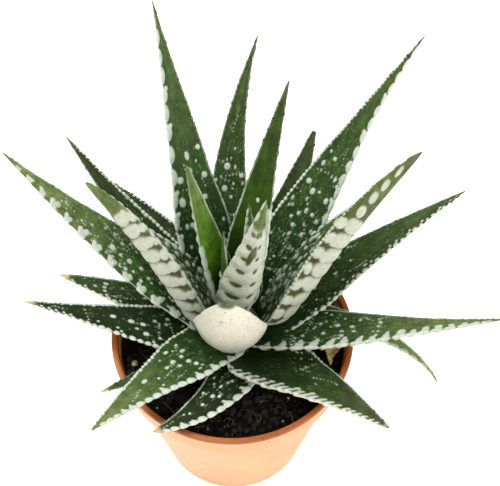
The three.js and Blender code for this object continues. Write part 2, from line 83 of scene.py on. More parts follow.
LEAVES = [
    {"node": "leaf_inner_banded", "kind": "banded", "foot": (0, 3.5, 67), "turn": 343, "rise": (80, 80.5),
     "long": 57, "wide": 10.8, "thick": 5, "roll": -66, "taper": 1.0, "plus": "beads", "minus": "patches",
     "bands": "slots", "pitch": 6.8, "bare": 0.8, "glow": 1, "rim": 1, "tip": "green"},
    {"node": "leaf_heart_sliver", "kind": "young", "foot": (6, 6, 67), "turn": 180,
     "rise": (88, 89), "long": 47, "wide": 6.5, "thick": 3, "roll": -60, "taper": 0.9, "dots": 0,
     "plus": "patches", "bare": 0.5, "shade": 0.5, "rim": 1, "tip": "green"},
    {"node": "leaf_heart_bud", "kind": "young", "foot": (0, 5, 67), "turn": 180, "rise": (86, 88),
     "long": 36, "wide": 6, "thick": 3, "roll": 10, "taper": 0.9, "dots": 0, "bare": 0.5, "shade": 0.5,
     "rim": 1, "tip": "green"},
    {"node": "leaf_inner_left", "kind": "young", "foot": (-0.7, 5, 67), "turn": 144, "sweep": -13,
     "rise": (76, 72), "long": 53.7, "wide": 9.6, "thick": 4.5, "taper": 0.8, "plus": "blotches", "dots": 0,
     "shade": 1.2, "glow": 1, "rim": 1, "tip": "green"},
    {"node": "leaf_inner_back", "kind": "young", "foot": (1, 6, 65), "turn": 64, "sweep": -10,
     "rise": (72, 66), "long": 76, "wide": 11.8, "thick": 5, "taper": 0.95, "minus": "blotches",
     "dots": 0, "shade": 0.36, "glow": 0.5, "rim": 0.75, "tip": "brown",
     "spots": ((0.49, 0, 0.6, 1.4), (0.33, 1.5, 0.4, 1.2))},
    {"node": "leaf_inner_front", "kind": "banded", "foot": (-0.3, -1, 62), "turn": 268, "rise": (67, 67),
     "long": 50, "wide": 19.8, "thick": 7, "roll": -2, "taper": 0.62, "round": 3.3,
     "bands": "shell", "pitch": 1.1, "bare": 0.965, "rim": 1, "tip": "green"},
    {"node": "leaf_mid_left_banded", "kind": "banded", "foot": (-2.5, 4, 63), "turn": 158.5, "sweep": 8,
     "rise": (62, 42), "long": 61.5, "wide": 17, "thick": 10.5, "roll": 12, "twist": 66, "taper": 0.55,
     "plus": "ovals", "minus": "ovals", "bands": "lobes", "pitch": 5.7, "thin": 0.8, "row": 0.55,
     "bare": 0.78, "dots": 5, "dotted": (0.03, 0.7), "glow": 1, "rim": 0.9, "tip": "green"},
    {"node": "leaf_mid_right_banded", "kind": "banded", "foot": (5.8, 5, 62), "turn": 28.5, "sweep": -17,
     "rise": (53, 45), "long": 72.6, "wide": 18, "thick": 11, "roll": -14, "twist": -62, "taper": 0.75,
     "plus": "ovals", "minus": "beads", "bands": "lobes", "pitch": 6.5, "thin": 0.62, "row": 0.56,
     "bare": 0.93, "dots": 5, "dotted": (0.03, 0.55), "glow": 1, "tip": "brown"},
    {"node": "leaf_mid_back_left", "kind": "dark", "foot": (-3, 6, 61), "turn": 110, "sweep": -2,
     "rise": (56, 49), "long": 92, "wide": 15.2, "thick": 5.5, "roll": -2, "taper": 1.2,
     "plus": "patches", "pitch": 7, "dots": 0.6, "dotted": (0.1, 0.55), "tip": "brown",
     "spots": ((0.52, 0.1, 0.65, 2.1), (0.45, 3.4, 1, 1.1), (0.45, -3.6, 0.85, 1.1), (0.54, -3.4, 0.7, 1.2),
               (0.47, 0.3, 0.85, 1.3), (0.38, -2.4, 0.8, 1.1), (0.38, 4.2, 1, 1.5), (0.3, 4.4, 0.6, 1.6),
               (0.3, 2.8, 0.7, 1.3), (0.22, 0.5, 0.6, 1.5))},
    {"node": "leaf_mid_back", "kind": "dark", "foot": (2.5, 7, 60), "turn": 107.5, "sweep": -46,
     "rise": (38, 48.5), "long": 80.3, "wide": 13, "thick": 5, "taper": 1.15, "dots": 0.9,
     "dotted": (0.1, 0.6), "rim": 0.4, "shade": 0.85, "glow": 0.3, "tip": "brown",
     "spots": ((0.52, 0.9, 0.95, 1.15), (0.44, 1.3, 0.85, 1.15), (0.47, 3.9, 0.5, 1.1),
               (0.41, -0.6, 0.5, 1.1), (0.39, 1.8, 0.5, 1.2), (0.49, -3.4, 0.65, 1.1))},
    {"node": "leaf_mid_back_right", "kind": "dark", "foot": (5, 5, 60), "turn": 55, "sweep": -20,
     "rise": (44, 46), "long": 95, "wide": 16.5, "thick": 6, "taper": 1.3, "plus": "beads",
     "minus": "patches", "pitch": 5.2, "dots": 1.3, "dotted": (0.14, 0.58), "shade": 0.9,
     "spots": ((0.55, 0.7, 0.65, 1.1), (0.52, 3, 0.55, 1.7), (0.5, -2.8, 0.55, 1.4), (0.45, 3.9, 0.8, 1.1),
               (0.43, 1.4, 0.8, 1.4), (0.44, -0.6, 0.5, 1.1), (0.43, -3.8, 0.75, 1.4), (0.35, 1.6, 0.6, 1.2),
               (0.37, 0, 0.6, 1.5), (0.37, -2.3, 0.65, 1.1), (0.36, -4.5, 0.7, 1.1), (0.33, 3.1, 0.5, 1.2),
               (0.31, 1.5, 0.6, 1.1), (0.3, -2.4, 0.6, 1.4))},
    {"node": "leaf_mid_left", "kind": "dark", "foot": (-2, 3, 60), "turn": 145, "sweep": -6,
     "rise": (35, 39), "long": 70, "wide": 12.5, "thick": 5, "roll": 3, "taper": 1.05, "minus": "double",
     "dots": 0.4, "dotted": (0.1, 0.6), "rim": 0.9, "shade": 0.6, "glow": 0.25, "tip": "brown"},
    {"node": "leaf_mid_far_left", "kind": "dark", "foot": (-2, 5, 58), "turn": 160, "sweep": -7,
     "rise": (29, 38.5), "long": 80.5, "wide": 16.5, "thick": 6, "roll": -2, "taper": 1.12,
     "plus": "hearts", "pitch": 6.2, "dots": 2, "dotted": (0.12, 0.66), "shade": 1.25, "glow": 1,
     "spots": ((0.49, 1.1, 0.9, 1.1), (0.41, 1.5, 0.75, 1.3), (0.41, 4.3, 0.5, 1.6), (0.34, 4.6, 0.6, 1.2),
               (0.32, 2.5, 0.5, 1.3), (0.36, 1.2, 0.6, 1.3), (0.45, 1.6, 0.5, 1.2), (0.38, 3.6, 0.5, 1.2))},
    {"node": "leaf_low_back_right", "kind": "dark", "foot": (4, 5, 58), "turn": 64.3, "sweep": 5,
     "rise": (30, 30), "long": 58.3, "wide": 15, "thick": 4.5, "taper": 1.0, "blunt": 1.3, "dots": 0.6,
     "shade": 0.6, "glow": 0.3, "tip": "pale"},
    {"node": "leaf_low_back_left", "kind": "dark", "foot": (1, 6, 57), "turn": 129, "sweep": 13,
     "rise": (18, 17), "long": 56, "wide": 14, "thick": 4.5, "roll": -2, "taper": 0.9, "minus": "beads",
     "dots": 0.8, "shade": 0.5, "glow": 0.2, "tip": "brown"},
    {"node": "leaf_low_right_back", "kind": "dark", "foot": (6, 2, 57), "turn": 30.5, "sweep": -10,
     "rise": (22, 24), "long": 73, "wide": 15.5, "thick": 5.5, "taper": 1.05, "minus": "blobs",
     "dots": 0.8, "dotted": (0.2, 0.6), "shade": 0.8, "glow": 0.35},
    {"node": "leaf_low_right", "kind": "dark", "foot": (5, 2, 58), "turn": 348, "sweep": 7,
     "rise": (15, 20), "long": 74, "wide": 15.5, "thick": 5.5, "roll": -12, "taper": 1.25,
     "minus": "wedges", "pitch": 4.6, "dots": 2, "dotted": (0.14, 0.52), "glow": 1,
     "spots": ((0.35, 1.9, 0.55, 1.8), (0.41, 1.3, 0.55, 1.4), (0.42, -0.5, 0.5, 1.3), (0.3, -1.1, 0.6, 1.1),
               (0.22, -2.1, 0.5, 1.2), (0.28, 2.6, 0.5, 1.2), (0.52, 2.4, 0.45, 1.6))},
    {"node": "leaf_low_front_left", "kind": "dark", "foot": (0, 1, 58), "turn": 222, "sweep": 7,
     "rise": (18, 7), "long": 55, "wide": 16.5, "thick": 5.5, "roll": 2, "taper": 0.95, "plus": "scallops",
     "minus": "beads", "dots": 0.8, "dotted": (0.25, 0.6), "glow": 0.9, "rim": 1, "tip": "pale",
     "spots": ((0.31, -3, 0.55, 1.7), (0.39, -5.2, 0.5, 1.6), (0.34, -1.7, 0.6, 1.2), (0.4, -1.6, 0.7, 1.3),
               (0.33, 0.8, 0.65, 1.3), (0.31, 2.8, 0.7, 1.1), (0.45, -1.2, 0.5, 1.6), (0.6, -1.7, 0.6, 1.7),
               (0.53, 0.1, 0.4, 1.2))},
    {"node": "leaf_low_front_right", "kind": "dark", "foot": (3, -5, 58), "turn": 328.7, "sweep": -9,
     "rise": (14, 2), "long": 50, "wide": 22.5, "thick": 6.5, "roll": -23, "taper": 1.0,
     "minus": "commas", "dotted": (0.25, 0.6), "shade": 0.68, "glow": 0.5, "rim": 0.9},
    {"node": "leaf_low_left", "kind": "dark", "foot": (-2, -1, 57), "turn": 176, "sweep": 3,
     "rise": (12, 20), "long": 59, "wide": 14.5, "thick": 5, "taper": 1.1, "plus": "blobs", "minus": "beads",
     "dots": 0.6, "dotted": (0.2, 0.75), "rim": 1, "shade": 0.36, "glow": 0.15, "tip": "dry",
     "spots": ((0.56, -0.9, 0.55, 1.7), (0.47, -0.4, 0.65, 1.5), (0.41, -0.1, 0.6, 1.4),
               (0.39, 2.9, 0.7, 1.4), (0.32, 3.6, 0.5, 1.2))},
    {"node": "leaf_base_left", "kind": "dark", "foot": (-1, 3, 56), "turn": 165, "rise": (13, 5),
     "long": 52, "wide": 13.5, "thick": 4.5, "roll": -1, "plus": "blobs", "dots": 0.9,
     "dotted": (0.2, 0.8), "rim": 1, "shade": 0.6, "glow": 0.2, "tip": "dry"},
    {"node": "leaf_base_front", "kind": "dark", "foot": (4, -3, 56), "turn": 258, "sweep": -56,
     "rise": (12, 4), "long": 42, "wide": 13, "thick": 4.5, "plus": "scallops", "dots": 0.8,
     "dotted": (0.15, 0.8), "rim": 1, "shade": 0.28, "glow": 0.2, "tip": "dry",
     "spots": ((0.5, -0.5, 0.6, 1.2), (0.47, 0.9, 0.5, 1.2), (0.53, -3, 0.45, 1.2), (0.4, -0.8, 0.4, 2),
               (0.6, -0.5, 0.5, 1.2))},
    {"node": "leaf_base_front_right", "kind": "dark", "foot": (4, 2, 56), "turn": 327, "sweep": -6,
     "rise": (9, 3), "long": 33, "wide": 12, "thick": 4, "plus": "beads", "pitch": 3.4,
     "dotted": (0.2, 0.8), "rim": 1, "shade": 0.5, "tip": "dry"},
    {"node": "leaf_base_right", "kind": "dark", "foot": (5, 7, 56.4), "turn": 357, "sweep": -36,
     "rise": (13, -56), "droop": 3, "long": 62, "wide": 10, "thick": 4.5, "taper": 1.4,
     "minus": "patches", "pitch": 4.2, "dots": 0.3, "rim": 1, "shade": 1.5, "glow": 1},
    {"node": "leaf_base_old", "kind": "dark", "foot": (-1, 2, 55), "turn": 217.8, "sweep": -10,
     "rise": (11, 6), "long": 43, "wide": 7, "thick": 3, "taper": 0.8, "pitch": 3.4, "dots": 0.4,
     "shade": 0.7, "tip": "dry"},
    {"node": "leaf_base_back", "kind": "dark", "foot": (2, 6, 56), "turn": 97, "rise": (15, 12),
     "long": 40, "wide": 13, "thick": 4.5, "plus": "beads", "minus": "patches", "pitch": 4, "dots": 0.8,
     "dotted": (0.2, 0.8), "shade": 0.6, "tip": "dry"},
    {"node": "leaf_base_back_right", "kind": "dark", "foot": (5, 5, 56), "turn": 40, "rise": (13, 10),
     "long": 36, "wide": 13, "thick": 4.5, "plus": "patches", "minus": "beads", "pitch": 4, "dots": 0.8,
     "dotted": (0.2, 0.8), "shade": 0.6, "tip": "dry"},
]
LEAVES = [{**LEAF, **row} for row in LEAVES]

LEAF_SLOTS = {"dark": "leaf", "young": "young_leaf", "banded": "banded_leaf"}
TIP_TONES = {"green": 0.0, "pale": 0.25, "grey": 0.5, "brown": 0.7, "dry": 1.0}
LEAF_SEED = 100  # the first leaf's; each further leaf's is one more
LITTER_SEED = 7
DRAIN_HOLES = 6
WALL_SIDES, HOLE_SIDES = 192, 32
SHARP = math.radians(32)  # edges of the pot that turn by more than this stay sharp
FLOOR_TOP = 0.0019  # where the soil starts above the pot's floor
LUMP_DENSITY, LUMP_HEIGHT = 160, 0.0009  # of the soil's top: how many in a metre, and how high
CLOD_DENSITY, CLOD_HEIGHT = 620, 0.0005
GRIT_DENSITY, GRIT_HEIGHT = 1500, 0.00035
CRUMB_SPREAD, CRUMB_SHAPE = 0.45, (0.6, 1.3)  # how much crumbs differ in size and in their proportions
FULL_TURN = 6.283  # radians, for headings drawn at random
PLANT_MIDDLE = (0, 0, 0.07)  # what the lights point at
CAMERA_AIM = (0.00505, 0.02164, 0.0726)  # the point in the middle of the picture
WELD = 1e-6  # points of a closed surface that lie nearer than this are one

# The shape of a leaf.
MIDRIB_STEPS = 24  # hops by which the midrib is added up
WIDEST = 0.3  # how far up its length a leaf is at its full width
WAIST, WAIST_PINCH = 0.66, 0.28  # how far down from its tip it begins to narrow again, and by how much
CLASP, CLASP_PINCH = 0.88, 0.35  # the same once more where it clasps the stem
TIP_THICKNESS, BLUNT_TIP_THICKNESS = 0.25, 0.8  # millimetres
KEEL_TAPER = 0.75  # the power by which the keel gets thinner
TIP_FLATTENING = 0.6  # how much of the underside's roundness the tip loses
BELLY, BELLY_ROUND = 0.84, 0.16  # the keeled and the round part of the underside's depth
CHANNEL, SHOULDER = 0.24, 0.06  # how deep the upper side is hollow, and how high its shoulders are
UNEVEN_PITCH, UNEVENNESS = 7, 0.018  # how its width wanders, in millimetres and as a share of it
FAR_OFF = 99.0  # millimetres, for points that a line doesn't reach
MAP_SPREAD = 400  # millimetres within which each leaf starts its map, so that no two look the same

# Where along a leaf its skin changes, as shares of its length: from where to where.
FOOT_TO_MIDDLE, MIDDLE_TO_TIP, BANDS_FADE = (0.02, 0.45), (0.3, 0.98), (0.8, 0.4)
# Next: where the painted shade of the warts deep in the rosette fades out, then the horny and the withered
# point.
SHADE_IN_ROSETTE, HORNY_POINT, WITHERED_POINT = (0.3, 0.05), (0.9, 0.99), (0.93, 0.96)
# The feet: the young leaves' darker with painted shade, the banded ones' lighter with painted light against
# the shade of their neighbours.
YOUNG_FOOT_SHADE, BANDED_FOOT_LIGHT = 0.4, 1.3  # how bright their feet are, measured by their middle
LEAF_GLOSS, WART_GLOSS = 0.46, 0.62  # roughness

# The shape of a wart: the powers of its profile, and where its white ends, in its own half widths.
DOME_SQUARENESS, DOME_FULLNESS = 2.4, 0.62
WHITE_END, WHITE_BLUR = 1.05, 0.2
CROWDING = 0.28  # how much closer the warts stand at the tip
RISE_AT_FOOT, FALL_AT_TIP = 14, 25  # how fast they reach their height, over the length of the leaf

# The coats of the two innermost banded undersides. Clefts and flecks: share of the length, way off the
# keel, then the half length and half width of a cleft, or the size of a fleck, in millimetres.
CLEFTS = ((0.58, -0.3, 4.6, 0.95), (0.75, 0.3, 1.8, 0.7), (0.83, -0.8, 1.2, 0.4))
FLECKS = ((0.7, -1.5, 0.6), (0.64, -1.9, 0.4), (0.76, 1.1, 0.35), (0.88, -0.3, 0.45))
RING_DEPTH, RING_SHADE = 0.09, 0.3  # of the fine rings: millimetres, and a share of the white
SLOT_END, SLOT_BLUR = 1.1, 0.25  # where a slot or cleft ends, in its own half widths
SLOT_DEPTH, SLOT_SHADE = 0.7, 0.95  # measured by a band's height, and by its white

# The pale margin along an edge, partly its own white rim and partly a painted highlight of the lit edge: how
# wide and how blurred, in millimetres, how white, and its height as a share of a bead's.
MARGIN_WIDTH, MARGIN_BLUR, MARGIN_WHITE_AND_HIGHLIGHT, MARGIN_HEIGHT = 0.42, 0.16, 0.8, 0.35
EDGE_START, EDGE_END = 2.0, 0.975  # where its warts begin, in millimetres, and end, as a share
EDGE_PITCHES = {
    "line": 2.3, "beads": 1.6, "double": 1.7, "ovals": 3.4, "blobs": 2.7, "scallops": 3.2, "commas": 2.6,
}  # the other styles keep to the bands of their leaf
TOOTH_SHARE = 0.55  # of the warts along an edge that have a green tooth beside them
SWELL_PLACES, SWELL_SIZES = (0, 0.1, 0.3, 0.6, 0.85, 1), (0.4, 0.7, 1, 0.95, 0.6, 0.2)
SPOT_GAP = 0.15  # bare skin kept between two dots of the upper side
DOTS_PER_AREA, FILES_PER_AREA = 0.05, 0.02  # on a square millimetre, where a leaf's dots are 1
SPECKS_PER_DOT, MOST_SPECKS = 0.5, 0.7  # how many of the cells of the upper side hold a speck
NEARLY_ZERO = 1e-9


# ---- settings --------------------------------------------------------------------------------


def length(name, default, text):
    return FloatProperty(name=name, description=text, default=default, min=0, unit="LENGTH")


def strength(name, default, text):
    return FloatProperty(name=name, description=text, default=default, min=0)


def colour(name, default, text):
    return FloatVectorProperty(
        name=name, description=text, default=default, min=0, max=1, size=3, subtype="COLOR"
    )


class PotSettings(PropertyGroup):
    height: length("Height", POT_BOX[1].z - POT_BOX[0].z, "From the foot to the top of the rim")
    rim_diameter: length("Rim diameter", POT_BOX[1].x - POT_BOX[0].x, "Outside, over the rim")
    foot_diameter: length("Foot diameter", 0.044, "Outside, at the foot")
    wall: length("Wall", 0.0013, "Thickness of the plastic")
    rim_width: length("Rim width", 0.0017, "Of the lip, seen from above")
    rim_height: length("Rim height", 0.0016, "Of the lip, seen from the side")
    collar_height: length("Collar height", 0.009, "Of the wider band below the lip")
    collar_step: length("Collar step", 0.0016, "How far the wall steps in below the collar")
    drain_diameter: length("Drain hole", 0.004, "Diameter of each of the drain holes")
    drain_radius: length("Drain circle", 0.013, "From the middle of the floor to a drain hole")
    lip: colour("Lip", (0.38, 0.1, 0.014), "Terracotta-coloured plastic where it is thick")
    # The body is a paler copy of the lip's plastic: painted light that passes through the thin wall.
    body: colour("Body", (0.72, 0.39, 0.17), "The thin wall, which lets light through")
    # The inside is a painted shade: the inner wall above the soil darkened where the pot shades it.
    inside: colour("Inside", (0.2, 0.035, 0.013), "The damp inner wall above the soil")
    dust: colour("Dust", (0.03, 0.022, 0.015), "Specks of soil on the plastic")


class SoilSettings(PropertyGroup):
    below_rim: length("Below rim", 0.005, "From the rim down to the edge of the soil")
    mound: length("Mound", 0.0014, "How much higher the soil is in the middle")
    crumb_size: length("Crumb size", 0.0012, "Of a middling crumb of peat")
    crumbs: IntProperty(name="Crumbs", description="Loose crumbs on top", default=900, min=0)
    fibres: IntProperty(name="Fibres", description="Root fibres on top", default=170, min=0)
    flecks: IntProperty(name="Flecks", description="Pale grains on top", default=60, min=0)
    peat: colour("Peat", (0.003, 0.0022, 0.0012), "Moist peat")
    dusty: colour("Dusty peat", (0.018, 0.012, 0.005), "Peat that has dried")
    fibre: colour("Fibre", (0.1, 0.07, 0.04), "Root fibres")
    fleck: colour("Fleck", (0.42, 0.36, 0.2), "Pale grains")
    scrap: colour("Dried leaf", (0.55, 0.42, 0.16), "The scrap of a withered leaf")
    stem: colour("Stem", (0.2, 0.22, 0.1), "The fleshy stem")


class LeafSettings(PropertyGroup):
    pitch: length("Skin pitch", 0.00028, "Spacing of the points of the skin along a leaf")
    columns: IntProperty(name="Columns", description="Points round a leaf", default=120, min=16)
    band_relief: length("Band relief", 0.00048, "Height of the bands of the underside")
    bead_relief: length("Bead relief", 0.00042, "Height of the warts along the edges")
    dot_relief: length("Dot relief", 0.0003, "Height of the warts of the upper side")
    # The foot green is a painted shade: the skin near the stem darkened, deep in the rosette where shade
    # falls.
    foot_shade_green: colour("Foot green", (0.008, 0.03, 0.004), "The skin near the stem")
    middle_green: colour("Middle green", (0.027, 0.066, 0.011), "The skin half way up")
    tip_green: colour("Tip green", (0.135, 0.185, 0.055), "The skin towards the tip")
    young_green: colour("Young green", (0.085, 0.22, 0.006), "The skin of a young leaf")
    gap: colour("Gap", (0.075, 0.075, 0.02), "The skin between the bands of a banded leaf")
    wart: colour("Wart", (0.58, 0.66, 0.56), "A wart of the upper side")
    # The shaded wart is a painted shade: the colour that the warts deep in the rosette are darkened towards.
    shaded_wart: colour("Shaded wart", (0.36, 0.45, 0.42), "A wart deep in the rosette")
    speck: colour("Speck", (0.2, 0.28, 0.12), "The finest dots of the upper side")
    cream: colour("Cream wart", (0.84, 0.8, 0.66), "A wart of the underside")
    silver: colour("Silvery wart", (0.6, 0.62, 0.5), "A wart of a banded underside")
    dry: colour("Dry tip", (0.6, 0.42, 0.25), "A withered tip")
    grey: colour("Grey tip", (0.13, 0.12, 0.09), "The horny point of a leaf")


class StageSettings(PropertyGroup):
    floor: colour("Floor", (0.93, 0.93, 0.92), "The pale floor")
    floor_size: length("Floor size", 4.0, "Side of the square floor")
    elevation: FloatProperty(
        name="Elevation", description="The camera looks down by this", default=math.radians(56),
        subtype="ANGLE",
    )
    distance: length("Distance", 0.42, "From the camera to the middle of the plant")
    lens: FloatProperty(name="Lens", description="Focal length in millimetres", default=104.6)
    floor_glow: strength("Floor glow", 0.43, "How much the floor shines by itself")
    room_light: strength("Room light", 0.5, "Of the soft light from all round")
    window_light: strength("Window light", 6.2, "Of the light from behind on the left, in watts")
    fill_light: strength("Fill light", 6.0, "Of the light from the front on the right, in watts")


# ---- making meshes ---------------------------------------------------------------------------


def deselect():
    for thing in bpy.context.selected_objects:
        thing.select_set(False)


def only(piece):
    deselect()
    piece.select_set(True)
    bpy.context.view_layer.objects.active = piece


def named(piece, name):
    piece.name = name
    piece.data.name = name
    return piece


def close_up(piece):
    """Merges the points that lie on each other, and turns all faces outwards."""
    only(piece)
    bpy.ops.object.mode_set(mode="EDIT")
    bpy.ops.mesh.select_all(action="SELECT")
    bpy.ops.mesh.remove_doubles(threshold=WELD)
    bpy.ops.mesh.normals_make_consistent(inside=False)
    bpy.ops.object.mode_set(mode="OBJECT")


def wrapped_grid(name, surface, fields=None):
    """A grid primitive whose points are moved onto a closed surface: rows run from pole to pole."""
    rows, columns = surface.shape[0] - 1, surface.shape[1]
    deselect()
    bpy.ops.mesh.primitive_grid_add(x_subdivisions=columns, y_subdivisions=rows, size=1)
    piece = named(bpy.context.object, name)
    mesh = piece.data
    flat = np.empty(len(mesh.vertices) * 3, np.float32)
    mesh.vertices.foreach_get("co", flat)
    flat = flat.reshape(-1, 3)
    column = np.rint((flat[:, 0] + 0.5) * columns).astype(int) % columns
    row = np.rint((flat[:, 1] + 0.5) * rows).astype(int)
    mesh.vertices.foreach_set("co", surface[row, column].astype(np.float32).ravel())
    for key, field in (fields or {}).items():
        kind = "FLOAT_VECTOR" if field.ndim == 3 else "FLOAT"
        layer = mesh.attributes.new(key, kind, "POINT")
        slot_name = "vector" if field.ndim == 3 else "value"
        layer.data.foreach_set(slot_name, field[row, column].astype(np.float32).ravel())
    close_up(piece)
    bpy.ops.object.shade_smooth()
    return piece


def join_mesh(name, parts):
    """One mesh of many small shapes: parts is a list of (points, faces), faces as index rows."""
    points, faces, start = [], [], 0
    for co, polygons in parts:
        points.append(co)
        faces.extend([[start + i for i in polygon] for polygon in polygons])
        start += len(co)
    mesh = bpy.data.meshes.new(name)
    mesh.from_pydata(np.vstack(points).tolist(), [], faces)
    mesh.validate()
    piece = bpy.data.objects.new(name, mesh)
    bpy.context.scene.collection.objects.link(piece)
    mesh.shade_smooth()
    return piece


def finish_piece(piece, slot, material, *nodes):
    """Gives a piece its material and its body, and hides the nodes of the part that it stands for; slot is
    not used.
    """
    piece.data.materials.clear()
    piece.data.materials.append(material)
    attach(piece, "root")
    if nodes:
        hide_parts(*nodes)


# ---- shader helpers --------------------------------------------------------------------------


def node(tree, kind, inputs=None, **settings):
    """A new node, with a link or a value for each of the inputs that are given."""
    made = tree.nodes.new(kind)
    for key, value in settings.items():
        setattr(made, key, value)
    for socket, value in (inputs or {}).items():
        if isinstance(value, bpy.types.NodeSocket):
            tree.links.new(value, made.inputs[socket])
        else:
            made.inputs[socket].default_value = value
    return made


def attribute(tree, name, output="Fac"):
    return node(tree, "ShaderNodeAttribute", attribute_name=name).outputs[output]


def math_node(tree, operation, a, b):
    return node(tree, "ShaderNodeMath", {0: a, 1: b}, operation=operation).outputs[0]


def vector_node(tree, operation, inputs, output=0):
    return node(tree, "ShaderNodeVectorMath", inputs, operation=operation).outputs[output]


def mixed(tree, share, a, b, blend="MIX"):
    """Colour a, with b over it by share; sockets 6 and 7 are a Mix node's two colours."""
    made = node(tree, "ShaderNodeMix", {0: share, 6: a, 7: b}, data_type="RGBA", blend_type=blend)
    return made.outputs[2]


def ranged(tree, value, low, high, to_low=0.0, to_high=1.0):
    inputs = {0: value, 1: low, 2: high, 3: to_low, 4: to_high}
    return node(tree, "ShaderNodeMapRange", inputs, interpolation_type="SMOOTHSTEP").outputs[0]


def times(tree, a, b):
    return math_node(tree, "MULTIPLY", a, b)


def grey(tree, value):
    return node(tree, "ShaderNodeCombineColor", {0: value, 1: value, 2: value}).outputs[0]


def mapped(tree, place, scale, rotation=(0, 0, 0)):
    inputs = {"Vector": place, "Rotation": rotation, "Scale": scale}
    return node(tree, "ShaderNodeMapping", inputs).outputs[0]


def rgba(colour_value, gain=1.0):
    return (*(channel * gain for channel in colour_value), 1.0)


def new_group(name, inputs, outputs):
    group = bpy.data.node_groups.new(name, "ShaderNodeTree")
    for key, kind, default in inputs:
        socket = group.interface.new_socket(key, in_out="INPUT", socket_type=kind)
        if default is not None:
            socket.default_value = default
    for key, kind in outputs:
        group.interface.new_socket(key, in_out="OUTPUT", socket_type=kind)
    start = group.nodes.new("NodeGroupInput")
    end = group.nodes.new("NodeGroupOutput")
    return group, start.outputs, end.inputs


def new_material(name):
    material = bpy.data.materials.new(name)
    material.use_nodes = True
    tree = material.node_tree
    tree.nodes.clear()
    shader = tree.nodes.new("ShaderNodeBsdfPrincipled")
    end = tree.nodes.new("ShaderNodeOutputMaterial")
    tree.links.new(shader.outputs[0], end.inputs[0])
    return material, tree, shader.inputs


COLOR, FLOAT, VECTOR = "NodeSocketColor", "NodeSocketFloat", "NodeSocketVector"


def mottle_group():
    """Slow, soft differences of tone over a surface."""
    group, start, end = new_group(
        "Mottle",
        [("Colour", COLOR, None), ("Vector", VECTOR, None), ("Scale", FLOAT, 1.0),
         ("Darker", FLOAT, 0.7), ("Lighter", FLOAT, 1.3)],
        [("Colour", COLOR)],
    )
    cloud = node(group, "ShaderNodeTexNoise", {"Vector": start["Vector"], "Scale": start["Scale"],
                                               "Detail": 4.0, "Roughness": 0.6})
    mask = ranged(group, cloud.outputs["Fac"], 0.3, 0.7)
    span = math_node(group, "SUBTRACT", start["Lighter"], start["Darker"])
    gain = math_node(group, "MULTIPLY_ADD", mask, span)
    group.links.new(start["Darker"], gain.node.inputs[2])
    group.links.new(mixed(group, 1.0, start["Colour"], grey(group, gain), "MULTIPLY"), end["Colour"])
    return group


def specks_group():
    """Tiny raised dots, each in a cell of its own, thinned out by Amount."""
    group, start, end = new_group(
        "Specks",
        [("Vector", VECTOR, None), ("Scale", FLOAT, 1.0), ("Amount", FLOAT, 0.5),
         ("Size", FLOAT, 0.3), ("Warp", FLOAT, 0.0)],
        [("Mask", FLOAT)],
    )
    cloud = node(group, "ShaderNodeTexNoise", {"Vector": start["Vector"], "Scale": start["Scale"]})
    shift = vector_node(group, "SUBTRACT", {0: cloud.outputs["Color"], 1: (0.5, 0.5, 0.5)})
    shift = vector_node(group, "SCALE", {0: shift, "Scale": start["Warp"]})
    bent = vector_node(group, "ADD", {0: start["Vector"], 1: shift})
    cells = node(group, "ShaderNodeTexVoronoi", {"Vector": bent, "Scale": start["Scale"]})
    picked = node(group, "ShaderNodeSeparateColor", {0: cells.outputs["Color"]}).outputs[0]
    kept = math_node(group, "LESS_THAN", picked, start["Amount"])
    near = math_node(group, "DIVIDE", cells.outputs["Distance"], start["Size"])
    dot = ranged(group, near, 1.0, 0.6)
    group.links.new(times(group, dot, kept), end["Mask"])
    return group


def grain_group():
    """Fine unevenness for a Bump node's height."""
    group, start, end = new_group(
        "Grain",
        [("Vector", VECTOR, None), ("Scale", FLOAT, 1.0), ("Fineness", FLOAT, 3.0)],
        [("Height", FLOAT)],
    )
    fine = node(group, "ShaderNodeTexNoise", {"Vector": start["Vector"], "Scale": start["Scale"],
                                              "Detail": start["Fineness"], "Roughness": 0.65})
    group.links.new(fine.outputs["Fac"], end["Height"])
    return group


SHARED = {"Mottle": mottle_group, "Specks": specks_group, "Grain": grain_group}


def shared(tree, name, inputs):
    """Places one of the shared groups, which is made when it is first used, and returns its output."""
    group = bpy.data.node_groups.get(name) or SHARED[name]()
    return node(tree, "ShaderNodeGroup", inputs, node_tree=group).outputs[0]


def mottled(tree, tint, place, scale, darker, lighter):
    """A colour with soft patches, from darker to lighter times as bright."""
    inputs = {"Colour": tint, "Vector": place, "Scale": scale, "Darker": darker, "Lighter": lighter}
    return shared(tree, "Mottle", inputs)


def specks(tree, place, scale, amount, size, warp=0.0):
    """A mask of fine dots, in amount of their cells."""
    inputs = {"Vector": place, "Scale": scale, "Amount": amount, "Size": size, "Warp": warp}
    return shared(tree, "Specks", inputs)


def grain(tree, place, scale, fineness):
    return shared(tree, "Grain", {"Vector": place, "Scale": scale, "Fineness": fineness})


def roughen(tree, shader, strength, distance, height):
    """Fine relief of a surface; distance is its height in metres where height is 1."""
    bump = node(tree, "ShaderNodeBump", {"Strength": strength, "Distance": distance, "Height": height})
    tree.links.new(bump.outputs[0], shader["Normal"])


def let_light_in(shader, weight, radius, scale):
    shader["Subsurface Weight"].default_value = weight
    shader["Subsurface Radius"].default_value = radius
    shader["Subsurface Scale"].default_value = scale


# ---- leaf skin -------------------------------------------------------------------------------

# What the skin of a leaf carries on its points for its material, besides its own map.
LEAF_FIELDS = ("along", "across", "under", "wart", "dome", "speck", "tone", "glow", "shade")


